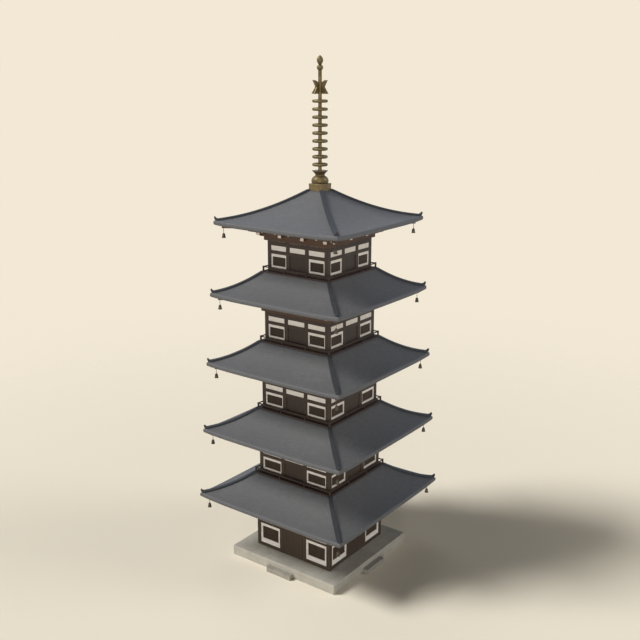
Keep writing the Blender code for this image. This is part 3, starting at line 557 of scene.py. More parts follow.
def lay_along(tree, lines, section, material, scale=1.0):
    """Ends a tree that runs a section along its guiding lines, with a flat map that follows the run."""
    lines = add(tree, "GeometryNodeMeshToCurve", {"Mesh": lines})
    lines = add(tree, "GeometryNodeSetCurveNormal", {"Curve": lines}, mode="Z_UP")
    length = add(tree, "GeometryNodeSplineParameter", out="Length")
    curves, runs = [], []
    for label, curve in (("along", lines), ("across", section)):
        stored = {"Geometry": curve, "Name": label, "Value": length}
        curves.append(add(tree, "GeometryNodeStoreNamedAttribute", stored, data_type="FLOAT", domain="POINT"))
        runs.append(add(tree, "GeometryNodeInputNamedAttribute", {"Name": label}, data_type="FLOAT"))
    laid = {"Curve": curves[0], "Profile Curve": curves[1], "Scale": scale, "Fill Caps": True}
    laid = add(tree, "GeometryNodeCurveToMesh", laid)
    flat = add(tree, "ShaderNodeCombineXYZ", {0: runs[0], 1: runs[1]})
    flat = {"Geometry": laid, "Name": "UVMap", "Value": flat}
    laid = add(tree, "GeometryNodeStoreNamedAttribute", flat, data_type="FLOAT2", domain="CORNER")
    laid = add(tree, "GeometryNodeSetShadeSmooth", {"Geometry": laid, "Shade Smooth": False})
    close_tree(tree, laid, material)


inputs = (("Width", "Float"), ("Depth", "Float"), ("Timber", "Material"))
rafter_tree, given = new_tree("sawn along lines", inputs)
section = {"Width": given["Width"], "Height": given["Depth"]}
section = add(rafter_tree, "GeometryNodeCurvePrimitiveQuadrilateral", section)
lay_along(rafter_tree, given["Geometry"], section, given["Timber"])

for storey, label, outer, _ in storeys():
    start, end = outer + 0.30, tip_half(storey) - 0.42
    rafters = []
    for x in spaced(-end, end, int(2.0 * end / EAVE_RAFTER_PITCH)):
        near = max(start, abs(x) + HIP_CLEAR)
        if end - near < SHORTEST:
            continue
        rafter = []
        for half in spaced(near, end, 3):
            level, share = soffit_level(storey, half)
            lift = CORNER_LIFT * share * min(abs(x) / half, 1.0) ** LIFT_POWER
            rafter.append((x, -half, level + lift - EAVE_RAFTER / 2.0 + RAFTER_BED))
        rafters.append(rafter)
    values = {"Width": EAVE_RAFTER, "Depth": EAVE_RAFTER, "Timber": bracket_timber}
    builder = grow(rafter_tree, *four_times(rafters), values)
    piece_from(label + "_eave_rafters", builder, bracket_timber)

    hip = []
    for half in spaced(outer + 0.10, tip_half(storey) - 0.34, 8):
        level, share = soffit_level(storey, half)
        top = level + 0.45 * CORNER_LIFT * share - 0.02
        hip.append((half, -half, top - HIP_DEPTH / 2.0))
    values = {"Width": HIP_WIDTH, "Depth": HIP_DEPTH, "Timber": bracket_timber}
    builder = grow(rafter_tree, *four_times([hip]), values)
    piece_from(label + "_hip_rafters", builder, bracket_timber)

# Roofs.
# Small flat clay tiles, smoked slate grey, laid in close courses on a curved bed that flares at the eave.
# The eave is a thick rounded roll of the same tiles; boards close the underside between the rafters.
COURSE = 0.120           # visible height of one course
TILE_WIDTH = 0.240
EAVE_TOP = 0.070         # where the tiles start, over the eave line
ROOF_COLUMNS = 61
ROOF_ROWS = 24
LIFTED_SHARE = 0.75      # the corner's lift fades out this far up the roof
DECK_OUT = 0.250
ROOF_CAP_HALF = 0.500
# Two shares of a roof's rise, one straight and one that steepens.
RISE, TOP_RISE = (0.593, 0.658), (0.692, 1.028)
ROOF_ROOT = 0.170        # the underside starts this far inside the face of the walls
RIM_IN, RIM_DEPTH = 0.017, 0.20
DECK = 0.22              # from the tiles down to the hollow
# Where the hollow ends at the eave: in from the tip and up from the eave line.
HOLLOW_END = ((0.85, 0.05), (0.80, -0.05))
BOARD = 0.009
BOARD_DROP = 0.010       # the boards' lower face hangs this far under the roof


def clay_tile(name, light, dark, joint):
    """Smoked clay tile: a soft grey sheen from the smoking, each tile a shade off its neighbours.

    Lips and joints are drawn at their real 8 mm, so they only show close by."""
    material, tree, shader = new_material(name, 0.70)
    flat = add(tree, "ShaderNodeTexCoord", out="UV")
    bond = {
        "Vector": flat, "Color1": linear(light), "Color2": linear(dark), "Mortar": linear(joint), "Scale": 1.0,
        "Mortar Size": 0.004, "Mortar Smooth": 0.6, "Brick Width": TILE_WIDTH, "Row Height": COURSE,
    }
    tiles = add(tree, "ShaderNodeTexBrick", bond, offset=0.5).node
    place = add(tree, "ShaderNodeTexCoord", out="Object")
    weather = add(tree, "ShaderNodeTexNoise", {"Vector": place, "Scale": 0.55, "Detail": 4.0})
    weather = add(tree, "ShaderNodeMapRange", {0: weather, 1: 0.35, 2: 0.65, 3: 0.0, 4: 0.5})
    tone = {0: weather, 6: tiles.outputs["Color"], 7: linear(dark)}
    tone = add(tree, "ShaderNodeMix", tone, 2, data_type="RGBA")
    tree.links.new(tone, shader.inputs["Base Color"])
    run = add(tree, "ShaderNodeSeparateXYZ", {0: flat}, "Y")
    lip = add(tree, "ShaderNodeMath", {0: run, 1: COURSE}, operation="DIVIDE")
    lip = add(tree, "ShaderNodeMath", {0: lip}, operation="FRACT")
    height = add(tree, "ShaderNodeMath", {0: tiles.outputs["Fac"], 1: lip}, operation="ADD")
    relief = add(tree, "ShaderNodeBump", {"Height": height, "Distance": 0.008, "Strength": 0.35}, invert=True)
    tree.links.new(relief, shader.inputs["Normal"])
    return material


roof_tile = clay_tile("smoked clay tile", "5A5958", "525150", "414040")

inputs = (("Columns", "Int"), ("Rows", "Int"), ("Lift", "Float"), ("Lift power", "Float"), ("Cover", "Material"))
roof_tree, given = new_tree("courses round a square roof", inputs)
last_row = add(roof_tree, "ShaderNodeMath", {0: given["Rows"], 1: 1.0}, operation="SUBTRACT")
sheet = {"Size X": 2.0, "Size Y": last_row, "Vertices X": given["Columns"], "Vertices Y": given["Rows"]}
sheet = add(roof_tree, "GeometryNodeMeshGrid", sheet)
where = add(roof_tree, "GeometryNodeInputPosition")
spot = add(roof_tree, "ShaderNodeSeparateXYZ", {0: where}).node
# Columns stand closer together towards the corners, where the eave lifts.
bunching = add(roof_tree, "ShaderNodeMath", {0: spot.outputs["X"], 1: 2.0}, operation="POWER")
bunching = add(roof_tree, "ShaderNodeMath", {0: bunching, 1: -0.5, 2: 1.5}, operation="MULTIPLY_ADD")
across = add(roof_tree, "ShaderNodeMath", {0: spot.outputs["X"], 1: bunching}, operation="MULTIPLY")
row = add(roof_tree, "ShaderNodeMath", {0: last_row, 1: 0.5, 2: spot.outputs["Y"]}, operation="MULTIPLY_ADD")
row = add(roof_tree, "ShaderNodeMath", {0: row, 1: 0.5}, operation="ADD")
sample = {"Geometry": given["Geometry"], "Value": where, "Index": row}
sample = add(roof_tree, "GeometryNodeSampleIndex", sample, data_type="FLOAT_VECTOR")
sample = add(roof_tree, "ShaderNodeSeparateXYZ", {0: sample}).node
half, keep, level = (sample.outputs[axis] for axis in "XYZ")
run = add(roof_tree, "GeometryNodeInputNamedAttribute", {"Name": "run"}, data_type="FLOAT")
run = {"Geometry": given["Geometry"], "Value": run, "Index": row}
run = add(roof_tree, "GeometryNodeSampleIndex", run, data_type="FLOAT")
reach = add(roof_tree, "ShaderNodeMath", {0: across}, operation="ABSOLUTE")
front = add(roof_tree, "ShaderNodeMath", {0: half, 1: -1.0}, operation="MULTIPLY")
lift = add(roof_tree, "ShaderNodeMath", {0: reach, 1: given["Lift power"]}, operation="POWER")
lift = add(roof_tree, "ShaderNodeMath", {0: lift, 1: given["Lift"]}, operation="MULTIPLY")
lift = add(roof_tree, "ShaderNodeMath", {0: lift, 1: keep, 2: level}, operation="MULTIPLY_ADD")
across = add(roof_tree, "ShaderNodeMath", {0: across, 1: half}, operation="MULTIPLY")
point = add(roof_tree, "ShaderNodeCombineXYZ", {0: across, 1: front, 2: lift})
flat = add(roof_tree, "ShaderNodeCombineXYZ", {0: across, 1: run})
flat = {"Geometry": sheet, "Name": "UVMap", "Value": flat}
sheet = add(roof_tree, "GeometryNodeStoreNamedAttribute", flat, data_type="FLOAT2", domain="CORNER")
sheet = add(roof_tree, "GeometryNodeSetPosition", {"Geometry": sheet, "Position": point})
turn = add(roof_tree, "GeometryNodeInputIndex")
turn = add(roof_tree, "ShaderNodeMath", {0: turn, 1: QUARTER}, operation="MULTIPLY")
turn = add(roof_tree, "FunctionNodeAxisAngleToRotation", {"Axis": (0.0, 0.0, 1.0), "Angle": turn})
centre = add(roof_tree, "GeometryNodeMeshLine", {"Count": 4, "Offset": (0.0, 0.0, 0.0)})
sides = add(roof_tree, "GeometryNodeInstanceOnPoints", {"Points": centre, "Instance": sheet, "Rotation": turn})
sides = add(roof_tree, "GeometryNodeRealizeInstances", {0: sides})
sides = add(roof_tree, "GeometryNodeMergeByDistance", {"Geometry": sides, "Distance": 0.0004})
close_tree(roof_tree, sides, given["Cover"])


def roof_slope(storey):
    """Half width of the roof's upper edge and the two shares of its rise."""
    if storey == len(STOREYS) - 1:
        return ROOF_CAP_HALF, *TOP_RISE
    return wall_half(storey + 1) + DECK_OUT - 0.02, *RISE


def roof_surface(storey, share):
    """Half width, height and remaining corner lift of the tiles, from eave 0 to top 1."""
    top_half, slope, sweep = roof_slope(storey)
    half = tip_half(storey) + (top_half - tip_half(storey)) * share
    level = eave_height(storey) + EAVE_TOP + slope * share + sweep * share ** 2
    return half, level, max(0.0, 1.0 - share / LIFTED_SHARE) ** 2


def sweep_round(rows, material):
    """Runs a roof's section, given as (half width, height, keep), round its four sides."""
    run = [0.0]
    for (half, level, _), (last_half, last_level, _) in zip(rows[1:], rows):
        run.append(run[-1] + math.hypot(half - last_half, level - last_level))
    points = [(half, keep, level) for half, level, keep in rows]
    values = {"Columns": ROOF_COLUMNS, "Rows": len(rows), "Cover": material}
    values.update({"Lift": CORNER_LIFT, "Lift power": LIFT_POWER})
    builder = grow(roof_tree, points, [], values, {"run": run})
    bmesh.ops.dissolve_degenerate(builder, dist=0.0002, edges=builder.edges)
    return builder


def eave_roll(storey):
    """The rounded edge of the eave, from its underside round to the first tiles."""
    core, eave = tip_half(storey) - EAVE_ROUND, eave_height(storey)
    rows = []
    for angle in spaced(-QUARTER, 0.0, 6):
        rows.append((core + EAVE_ROUND * math.cos(angle), eave - 0.100 + 0.090 * math.sin(angle), 1.0))
    for angle in spaced(0.0, QUARTER, 7)[:-1]:
        rows.append((core + EAVE_ROUND * math.cos(angle), eave - 0.020 + 0.110 * math.sin(angle), 1.0))
    return rows


board_timber = oiled_timber("oiled eave boards", "4C392D", "3B2C22", 0.65)
for storey, label, outer, eave in storeys():
    tip = tip_half(storey)
    rise = roof_surface(storey, 1.0)[1]
    root = (outer - ROOF_ROOT, eave + SOFFIT, 0.0)
    rows = [root]
    for half in spaced(outer + RING_OUT, tip - EAVE_ROUND, 8)[:-1]:
        rows.append((half, *soffit_level(storey, half)))
    rows += eave_roll(storey)
    rows += [roof_surface(storey, i / ROOF_ROWS) for i in range(1, ROOF_ROWS + 1)]
    if storey == len(STOREYS) - 1:
        rows = [(0.0, eave + SOFFIT, 0.0), *rows, (0.0, rise, 0.0)]
    else:
        # The lower roofs are hollow: the section turns down inside the walls above and back to the eave.
        rim = wall_half(storey + 1) - RIM_IN
        rows += [(rim, rise, 0.0), (rim, rise - RIM_DEPTH, 0.0)]
        for share in (0.75, 0.40):
            half, level, _ = roof_surface(storey, share)
            rows.append((half, level - DECK, 0.0))
        rows += [(tip - back, eave + up, 0.0) for back, up in HOLLOW_END]
        rows += [(root[0], root[1] + 0.10, 0.0), root]
    builder = sweep_round(rows, roof_tile)
    piece_from(label + "_roof_tiles", builder, roof_tile, [label + "_roof"], 40.0)

    rows = []
    for half in spaced(outer + RING_OUT + 0.005, tip - 0.16, 8):
        level, share = soffit_level(storey, half)
        rows.append((half, level - BOARD_DROP, share))
    rows += [(half, level + BOARD, keep) for half, level, keep in reversed(rows)]
    rows.append(rows[0])
    builder = sweep_round(rows, board_timber)
    piece_from(label + "_eave_boards", builder, board_timber, (), 40.0)

# Hip ridges.
# Courses of flat tiles built up along each hip under a round capping, darker than the roof.
# Each ridge follows the sag of the hip and ends over the corner in a small upturned end tile.
RIDGE_ROOT = 0.090       # the lowest course is bedded this deep between the roof tiles
RIDGE_STEPS = 18
# Section of a ridge, out from its middle and up from its foot.
RIDGE_SECTION = (
    (0.120, 0.0), (0.120, 0.105), (0.104, 0.108), (0.104, 0.130), (0.090, 0.133), (0.084, 0.160), (0.056, 0.182),
    (0.0, 0.192),
)
# The upturned end: in from the roof's tip, up from the eave line, and how much of the section is left.
HORN = ((0.135, 0.218, 0.90), (0.098, 0.262, 0.74), (0.072, 0.325, 0.58), (0.060, 0.395, 0.42))
ridge_tile = clay_tile("smoked ridge tile", "3C3D3F", "333436", "272829")
# The ridges catch less of the light than the roof does.
ridge_tile.node_tree.nodes["Principled BSDF"].inputs["Specular IOR Level"].default_value = 0.25
ridge_tree, given = new_tree("ridge along a hip", (("Section", "Object"), ("Cover", "Material")))
section = add(ridge_tree, "GeometryNodeObjectInfo", {"Object": given["Section"]}, "Geometry")
section = add(ridge_tree, "GeometryNodeMeshToCurve", {"Mesh": section})
taper = add(ridge_tree, "GeometryNodeInputNamedAttribute", {"Name": "taper"}, data_type="FLOAT")
lay_along(ridge_tree, given["Geometry"], section, given["Cover"], taper)
outline = [Vector((out, up - RIDGE_ROOT, 0.0)) for out, up in RIDGE_SECTION]
outline += [Vector((-point.x, point.y, 0.0)) for point in reversed(outline[:-1])]
section_mesh = bpy.data.meshes.new("ridge section")
section_mesh.from_pydata(outline, [(i, (i + 1) % len(outline)) for i in range(len(outline))], [])
section_shape = new_object("ridge_section", section_mesh)
for storey, label, _, eave in storeys():
    tip, top_half = tip_half(storey), roof_slope(storey)[0]
    head = roof_surface(storey, 1.0)[1]
    # The top ridges run in under the basin, the others under the corner of the gallery above.
    if storey == len(STOREYS) - 1:
        path = [(0.430, head)]
    else:
        path = [(top_half - 0.090, head - 0.020)]
    for half in spaced(top_half + 0.03, tip - 0.18, RIDGE_STEPS):
        _, level, keep = roof_surface(storey, (tip - half) / (tip - top_half))
        path.append((half, level + CORNER_LIFT * keep))
    taper = [1.0] * len(path) + [share for _, _, share in HORN]
    path += [(tip - back, eave + up) for back, up, _ in HORN]
    points, edges = four_times([[(half, -half, level) for half, level in path]])
    values = {"Section": section_shape, "Cover": ridge_tile}
    builder = grow(ridge_tree, points, edges, values, {"taper": taper * 4})
    piece_from(label + "_roof_hip_ridges", builder, ridge_tile, (), 30.0)
bpy.data.objects.remove(section_shape)

# Floors and balustrades of the upper storeys.
# A boarded gallery floor sits on the roof below, on a low drum of timber, with one rail on square posts.
# The boards run along each side and are oiled dark; posts are pinned through the edge board.
GALLERY_FOOT = 1.3213    # over the eave line of the storey below
# Heights over the storey's own eave line.
GALLERY_FLOOR = -2.900
RAIL = (-2.695, -2.635)
CORNER_POST_TOP = -2.615
GALLERY_BOARDS = 3
RAIL_LINE = 0.185
DRUM = 0.18
gallery_timber = oiled_timber("oiled gallery timber", "3F2E24", "2E221B", 0.66)


def add_post(builder, x, line, half, low, high, arris):
    """A square balustrade post on the front."""
    add_timber(builder, (x - half, -line - half, low), (x + half, -line + half, high), 2, arris)


for storey, label, outer, eave in storeys(1):
    floor, under = eave + GALLERY_FLOOR, eave_height(storey - 1)
    bottom = under + GALLERY_FOOT
    edge = outer + DECK_OUT
    builder = bmesh.new()
    width = (DECK_OUT + 0.10) / GALLERY_BOARDS
    for i in range(GALLERY_BOARDS):
        near = edge - width * i
        add_timber(builder, (-near, -near, bottom), (near - width, -near + width - 0.002, floor), 0, 0.006)
    drum = outer - 0.02
    add_timber(builder, (-drum, -drum, under + SOFFIT), (drum - DRUM, -drum + DRUM, bottom - 0.001), 0)
    line = outer + RAIL_LINE
    add_post(builder, -line, line, 0.045, floor, eave + CORNER_POST_TOP, 0.008)
    for x in (-line / 3.0, line / 3.0):
        add_post(builder, x, line, 0.035, floor, eave + RAIL[0], 0.006)
    low, high = (-line + 0.02, -line - 0.034, eave + RAIL[0]), (line - 0.02, -line + 0.034, eave + RAIL[1])
    add_timber(builder, low, high, 0, 0.008)
    on_four_sides(builder)
    inside = outer - 0.10
    add_timber(builder, (-inside, -inside, bottom), (inside, inside, floor - 0.001), 0, 0.006)
    node = label + "_floor_and_balustrade"
    piece_from(label + "_gallery_and_rails", builder, gallery_timber, [node])

# Wind bells.
# A small cast-bronze bell with a flared mouth hangs on a wire from every hip rafter, twenty in all.
# They are hollow, with a clapper on its own wire, and have gone dull brown in the weather.
BELL_IN = 0.410
BELL_TOP, BELL_BOTTOM = -0.580, -0.870
BELL_SIDES = 20
WIRE_RADIUS = 0.014
WIRE_TOP = -0.250        # inside the hip rafter
BELL_OUTSIDE = (
    (0.122, 0.0), (0.118, 0.010), (0.107, 0.050), (0.098, 0.095), (0.091, 0.150), (0.085, 0.200), (0.070, 0.240),
    (0.042, 0.262), (0.024, 0.268), (0.024, 0.290), (0.0, 0.290),
)
BELL_INSIDE = ((0.0, 0.200), (0.072, 0.190), (0.083, 0.130), (0.095, 0.060), (0.110, 0.0))
CLAPPER_WIRE = ((0.006, -0.012), (0.006, 0.205))
CLAPPER = ((0.0, 0.020), (0.020, 0.030), (0.026, 0.045), (0.018, 0.062), (0.0, 0.068))


def turn_round(builder, profile, segments, centre=(0.0, 0.0)):
    """A turned shape: the profile (radius, height) spun round an upright axis, its ends capped."""
    rings = []
    for radius, height in profile:
        if radius < 1e-6:
            rings.append([builder.verts.new((centre[0], centre[1], height))] * segments)
            continue
        ring = []
        for i in range(segments):
            angle = 2.0 * math.pi * i / segments
            x, y = centre[0] + radius * math.cos(angle), centre[1] + radius * math.sin(angle)
            ring.append(builder.verts.new((x, y, height)))
        rings.append(ring)
    for lower, upper in zip(rings, rings[1:]):
        for i in range(segments):
            j = (i + 1) % segments
            loop = []
            for corner in (lower[i], lower[j], upper[j], upper[i]):
                if corner not in loop:
                    loop.append(corner)
            if len(loop) > 2:
                builder.faces.new(loop)
    for ring in (rings[0], rings[-1]):
        if ring[0] is not ring[1]:
            builder.faces.new(ring)


def cast_bronze(name, light, dark, roughness, metallic):
    """Weathered bronze: brown patina over a yellow metal, so highlights are pale and warm and hollows go olive.

    The patina's clouds are 100 to 200 mm across, as rain leaves them."""
    material, tree, shader = new_material(name, roughness, metallic)
    place = add(tree, "ShaderNodeTexCoord", out="Object")
    patina = add(tree, "ShaderNodeTexNoise", {"Vector": place, "Scale": 5.0, "Detail": 4.0})
    patina = add(tree, "ShaderNodeMapRange", {0: patina, 1: 0.35, 2: 0.65})
    tone = add(tree, "ShaderNodeMix", {0: patina, 6: linear(light), 7: linear(dark)}, 2, data_type="RGBA")
    tree.links.new(tone, shader.inputs["Base Color"])
    dulled = add(tree, "ShaderNodeMapRange", {0: patina, 3: roughness - 0.05, 4: roughness + 0.05})
    tree.links.new(dulled, shader.inputs["Roughness"])
    cast = add(tree, "ShaderNodeTexNoise", {"Vector": place, "Scale": 60.0, "Detail": 2.0})
    relief = add(tree, "ShaderNodeBump", {"Height": cast, "Distance": 0.001, "Strength": 0.3})
    tree.links.new(relief, shader.inputs["Normal"])
    return material


bell_bronze = cast_bronze("tarnished bell bronze", "4C4230", "3B3327", 0.52, 0.60)
bell_builder = bmesh.new()
for profile in (BELL_OUTSIDE, BELL_INSIDE):
    turn_round(bell_builder, profile, BELL_SIDES)
    mouth = [face for face in bell_builder.faces if len(face.verts) == BELL_SIDES]
    bmesh.ops.delete(bell_builder, geom=mouth, context="FACES_ONLY")
bmesh.ops.bridge_loops(bell_builder, edges=[edge for edge in bell_builder.edges if edge.is_boundary])
turn_round(bell_builder, CLAPPER_WIRE, 6)
turn_round(bell_builder, CLAPPER, 10)
bmesh.ops.recalc_face_normals(bell_builder, faces=bell_builder.faces)
bell_mesh = bpy.data.meshes.new("bell")
bell_builder.to_mesh(bell_mesh)
bell_builder.free()
bell_shape = new_object("bell_shape", bell_mesh)
bell_tree, given = new_tree("hung at points", (("Bell", "Object"), ("Metal", "Material")))
bell = add(bell_tree, "GeometryNodeObjectInfo", {"Object": given["Bell"]}, "Geometry")
hung = add(bell_tree, "GeometryNodeInstanceOnPoints", {"Points": given["Geometry"], "Instance": bell})
close_tree(bell_tree, hung, given["Metal"])
for storey, label, _, eave in storeys():
    out = tip_half(storey) - BELL_IN
    points = [Vector((x * out, y * out, eave + BELL_BOTTOM)) for x, y in ((1, -1), (1, 1), (-1, 1), (-1, -1))]
    builder = grow(bell_tree, points, [], {"Bell": bell_shape, "Metal": bell_bronze})
    wire = ((WIRE_RADIUS, eave + BELL_TOP - 0.005), (WIRE_RADIUS, eave + WIRE_TOP))
    for point in points:
        turn_round(builder, wire, 8, point.xy)
    piece_from(label + "_storey_wind_bells", builder, bell_bronze, (), 40.0)
bpy.data.objects.remove(bell_shape)

# Foot of the bronze spire.
# A square dew basin with a rim, an inverted bowl and a flared collar, one on the other.
# Each is cast and slipped over the mast; the flat basin is washed cleaner by rain than the rest.
SPIRE_SEGMENTS = 40
BASIN_FOOT = 1.7903      # over the eave line of the top storey
BASIN_HALF, BASIN_HEAD = 0.470, 23.740
RIM_HALF, RIM = 0.482, (23.690, 23.800)
BOWL = (
    (0.430, 23.8003), (0.470, 23.815), (0.496, 23.87), (0.505, 23.93), (0.503, 24.00), (0.480, 24.07),
    (0.430, 24.145), (0.360, 24.205), (0.300, 24.235), (0.285, 24.25),
)
COLLAR = (
    (0.275, 24.2503), (0.272, 24.29), (0.290, 24.34), (0.335, 24.40), (0.400, 24.47), (0.460, 24.515),
    (0.470, 24.525), (0.470, 24.538), (0.455, 24.54), (0.30, 24.52), (0.115, 24.52),
)


def turned_piece(name, profile, node):
    """A round bronze piece of the spire, spun from its profile."""
    builder = bmesh.new()
    turn_round(builder, profile, SPIRE_SEGMENTS)
    piece_from(name, builder, bronze, [node], 40.0)


bronze = cast_bronze("weathered bronze", "6B5A36", "5E4E2E", 0.52, 0.70)
basin_bronze = cast_bronze("rain-washed bronze", "7E6A43", "6F5C39", 0.60, 0.60)
builder = bmesh.new()
foot = eave_height(4) + BASIN_FOOT
add_timber(builder, (-BASIN_HALF, -BASIN_HALF, foot), (BASIN_HALF, BASIN_HALF, BASIN_HEAD), 2, 0.012)
add_timber(builder, (-RIM_HALF, -RIM_HALF, RIM[0]), (RIM_HALF, RIM_HALF, RIM[1]), 2, 0.016)
piece_from("spire_dew_basin", builder, basin_bronze, ["spire_base_box"])
turned_piece("spire_bowl", BOWL, "spire_inverted_bowl")
turned_piece("spire_collar", COLLAR, "spire_flared_collar")

# Mast and rings of the spire.
# Nine plain cast hoops of one size, each on four spokes from a hub that slips over the mast.
# They are of the same bronze as the bowl.
MAST_RADIUS = 0.105
MAST = (24.5203, 28.8797)
RINGS, RING_PITCH, FIRST_RING = 9, 0.449, 24.885
SPOKE_WIDTH, SPOKE_DEPTH = 0.062, 0.046
HUB = ((0.106, -0.075), (0.132, -0.055), (0.138, 0.0), (0.132, 0.055), (0.106, 0.075))
inputs = [("Rings", "Int")] + [(label, "Float") for label in ("Pitch", "Radius", "Tube", "Spoke")]
ring_tree, given = new_tree("rings up a mast", inputs + [("Metal", "Material")])
hoop = add(ring_tree, "GeometryNodeCurvePrimitiveCircle", {"Resolution": 48, "Radius": given["Radius"]})
tube = add(ring_tree, "GeometryNodeCurvePrimitiveCircle", {"Resolution": 14, "Radius": given["Tube"]})
hoop = add(ring_tree, "GeometryNodeCurveToMesh", {"Curve": hoop, "Profile Curve": tube})
reach = add(ring_tree, "ShaderNodeMath", {0: given["Radius"], 1: 2.0}, operation="MULTIPLY")
parts = ring_tree.nodes.new("GeometryNodeJoinGeometry")
ring_tree.links.new(hoop, parts.inputs[0])
for first, second in ((reach, given["Spoke"]), (given["Spoke"], reach)):
    size = add(ring_tree, "ShaderNodeCombineXYZ", {0: first, 1: second, 2: SPOKE_DEPTH})
    ring_tree.links.new(add(ring_tree, "GeometryNodeMeshCube", {"Size": size}), parts.inputs[0])
step = add(ring_tree, "ShaderNodeCombineXYZ", {2: given["Pitch"]})
up = {"Count": given["Rings"], "Start Location": (0.0, 0.0, FIRST_RING), "Offset": step}
up = add(ring_tree, "GeometryNodeMeshLine", up)
rings = add(ring_tree, "GeometryNodeInstanceOnPoints", {"Points": up, "Instance": parts.outputs[0]})
close_tree(ring_tree, rings, given["Metal"])
values = {"Rings": RINGS, "Pitch": RING_PITCH, "Radius": 0.374, "Tube": 0.086, "Spoke": SPOKE_WIDTH, "Metal": bronze}
builder = grow(ring_tree, [], [], values)
turn_round(builder, [(MAST_RADIUS, level) for level in MAST], SPIRE_SEGMENTS)
for i in range(RINGS):
    level = FIRST_RING + RING_PITCH * i
    turn_round(builder, [(radius, level + rise) for radius, rise in HUB], SPIRE_SEGMENTS)
piece_from("spire_mast_and_rings", builder, bronze, ["spire_ringed_mast"], 40.0)

# Fins of the spire.
# Four flat fins with horned outlines stand out from a sleeve on the mast.
# Each is cast with a thicker middle inside a thin rim.
FIN_BOTTOM, FIN_TOP = 28.880, 29.640
FIN_THICKNESS = 0.060
FIN_SWELL, FIN_RIM = 0.024, 0.055
FIN_OUTLINE = (
    (0.0, 0.0), (0.57, 0.0), (0.57, 0.03), (0.46, 0.18), (0.37, 0.31), (0.335, 0.37), (0.36, 0.46), (0.44, 0.61),
    (0.53, 0.76), (0.42, 0.735), (0.30, 0.68), (0.20, 0.61), (0.13, 0.54), (0.0, 0.54),
)
builder = bmesh.new()
turn_round(builder, ((MAST_RADIUS, FIN_BOTTOM), (MAST_RADIUS, FIN_TOP)), SPIRE_SEGMENTS)
for turn in range(4):
    spin = Matrix.Rotation(turn * QUARTER, 3, "Z")
    for thickness, shrink in ((FIN_THICKNESS, 0.0), (FIN_THICKNESS + FIN_SWELL, FIN_RIM)):
        loops = []
        for side in (-0.5, 0.5):
            loop = []
            for out, up in FIN_OUTLINE:
                out = max(out - shrink, 0.0)
                up = min(max(up, shrink), FIN_TOP - FIN_BOTTOM - 1.6 * shrink)
                loop.append(builder.verts.new(spin @ Vector((out, side * thickness, FIN_BOTTOM + up))))
            builder.faces.new(loop)
            loops.append(loop)
        for i in range(len(FIN_OUTLINE)):
            j = (i + 1) % len(FIN_OUTLINE)
            builder.faces.new((loops[0][i], loops[0][j], loops[1][j], loops[1][i]))
piece_from("spire_fins", builder, bronze, ["spire_flame_fins"], 30.0)

# Jewels of the spire.
# Two cast jewels end the mast: a ball, and over it one drawn out to a point.
# They are of the same bronze as the rings.
BALL_LEVEL, BALL_RADIUS, BALL_RISE = 30.325, 0.182, 0.160
ball = [
    (BALL_RADIUS * math.cos(angle) ** 0.8, BALL_LEVEL + BALL_RISE * math.sin(angle))
    for angle in spaced(-QUARTER, QUARTER, 10)[1:-1]
]
jewels = (
    (MAST_RADIUS, FIN_TOP + 0.0003), (MAST_RADIUS, 30.150), (0.120, 30.175), *ball, (0.095, 30.495),
    (0.118, 30.545), (0.150, 30.595), (0.172, 30.650), (0.182, 30.715), (0.176, 30.780), (0.152, 30.845),
    (0.112, 30.905), (0.068, 30.950), (0.034, 30.978), (0.0, 31.0),
)
turned_piece("spire_top_jewels", jewels, "spire_jewels")

# Floor, light and camera.
# A plain cream studio floor fades into a cream surround under four soft lamps.
# The key stands to the front left, a low fill in front, a weaker lamp on the right and the weakest behind.
FLOOR_RADIUS = 160.0
FADE_START, FADE_END = 10.0, 65.0
CREAM = "F2E8D5"
LAMP_DISTANCE = 60.0
floor_mesh = bpy.data.meshes.new("studio_floor")
builder = bmesh.new()
bmesh.ops.create_circle(builder, cap_ends=True, segments=96, radius=FLOOR_RADIUS)
builder.to_mesh(floor_mesh)
builder.free()
studio_floor = new_object("studio_floor", floor_mesh)
# Cream paper: quite matt, and it fades with distance so that no horizon shows.
paper, tree, shader = new_material("cream paper", 0.95)
shader.inputs["Base Color"].default_value = linear("EDE4D1")
shader.inputs["Specular IOR Level"].default_value = 0.0
place = add(tree, "ShaderNodeTexCoord", out="Object")
away = add(tree, "ShaderNodeVectorMath", {0: place}, "Value", operation="LENGTH")
fade = {0: away, 1: FADE_START, 2: FADE_END}
fade = add(tree, "ShaderNodeMapRange", fade, interpolation_type="SMOOTHSTEP")
clear = add(tree, "ShaderNodeBsdfTransparent")
blend = add(tree, "ShaderNodeMixShader", {0: fade, 1: shader.outputs[0], 2: clear})
tree.links.new(blend, tree.nodes["Material Output"].inputs["Surface"])
floor_mesh.materials.append(paper)
studio_floor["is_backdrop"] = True

# The surround is one even cream to the camera. To matt faces it is a dim sky over a bright floor that goes
# on and on; in the sheen of tiles and bronze it is a pale studio wall all round.
world = bpy.data.worlds.new("cream surround")
world.use_nodes = True
tree = world.node_tree
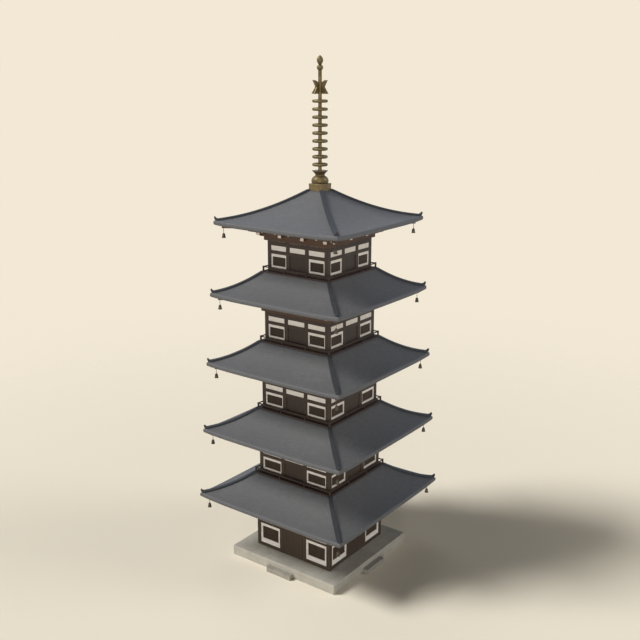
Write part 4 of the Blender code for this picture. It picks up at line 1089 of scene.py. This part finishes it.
surround = tree.nodes["Background"]
surround.inputs["Color"].default_value = linear(CREAM)
upward = add(tree, "ShaderNodeTexCoord", out="Generated")
upward = add(tree, "ShaderNodeSeparateXYZ", {0: upward}, "Z")
glow = add(tree, "ShaderNodeMapRange", {0: upward, 1: -0.02, 2: 0.02, 3: 0.90, 4: 0.01})
ambient = add(tree, "ShaderNodeBackground", {"Color": linear(CREAM), "Strength": glow})
wall = add(tree, "ShaderNodeBackground", {"Color": linear("CEDAF0"), "Strength": 1.38})
ray = add(tree, "ShaderNodeLightPath").node
mixed = add(tree, "ShaderNodeMixShader", {0: ray.outputs["Is Glossy Ray"], 1: ambient, 2: wall})
mixed = {0: ray.outputs["Is Camera Ray"], 1: mixed, 2: surround.outputs[0]}
mixed = add(tree, "ShaderNodeMixShader", mixed)
tree.links.new(mixed, tree.nodes["World Output"].inputs["Surface"])
bpy.context.scene.world = world

# Each far lamp: its bearing from +X and height over the horizon, how wide it looks, and its strength.
for name, bearing, height, width, strength in (
    ("key lamp", 221.6, 47.0, 20.0, 3.10),
    ("fill lamp", 303.0, 4.0, 12.0, 1.28),
    ("right lamp", 32.0, 31.0, 24.0, 0.68),
    ("left back lamp", 147.0, 63.0, 27.0, 0.20),
):
    lamp = bpy.data.lights.new(name, "SUN")
    lamp.energy = strength
    lamp.angle = math.radians(width)
    bearing, height = math.radians(bearing), math.radians(height)
    level = math.cos(height)
    toward = Vector((math.cos(bearing) * level, math.sin(bearing) * level, math.sin(height)))
    holder = new_object(name, lamp)
    holder.location = toward * LAMP_DISTANCE
    holder.rotation_euler = toward.to_track_quat("Z", "Y").to_euler()

camera = bpy.data.cameras.new("camera")
camera.sensor_width = 36.0
camera.lens = 50.364
camera.clip_end = 1000.0
eye = new_object("camera", camera)
eye.location = (31.44334, -42.22141, 30.16572)
eye.rotation_euler = (math.radians(74.421), 0.0, math.radians(36.676))
bpy.context.scene.camera = eye
bpy.context.scene.view_settings.view_transform = "Standard"

low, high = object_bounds()
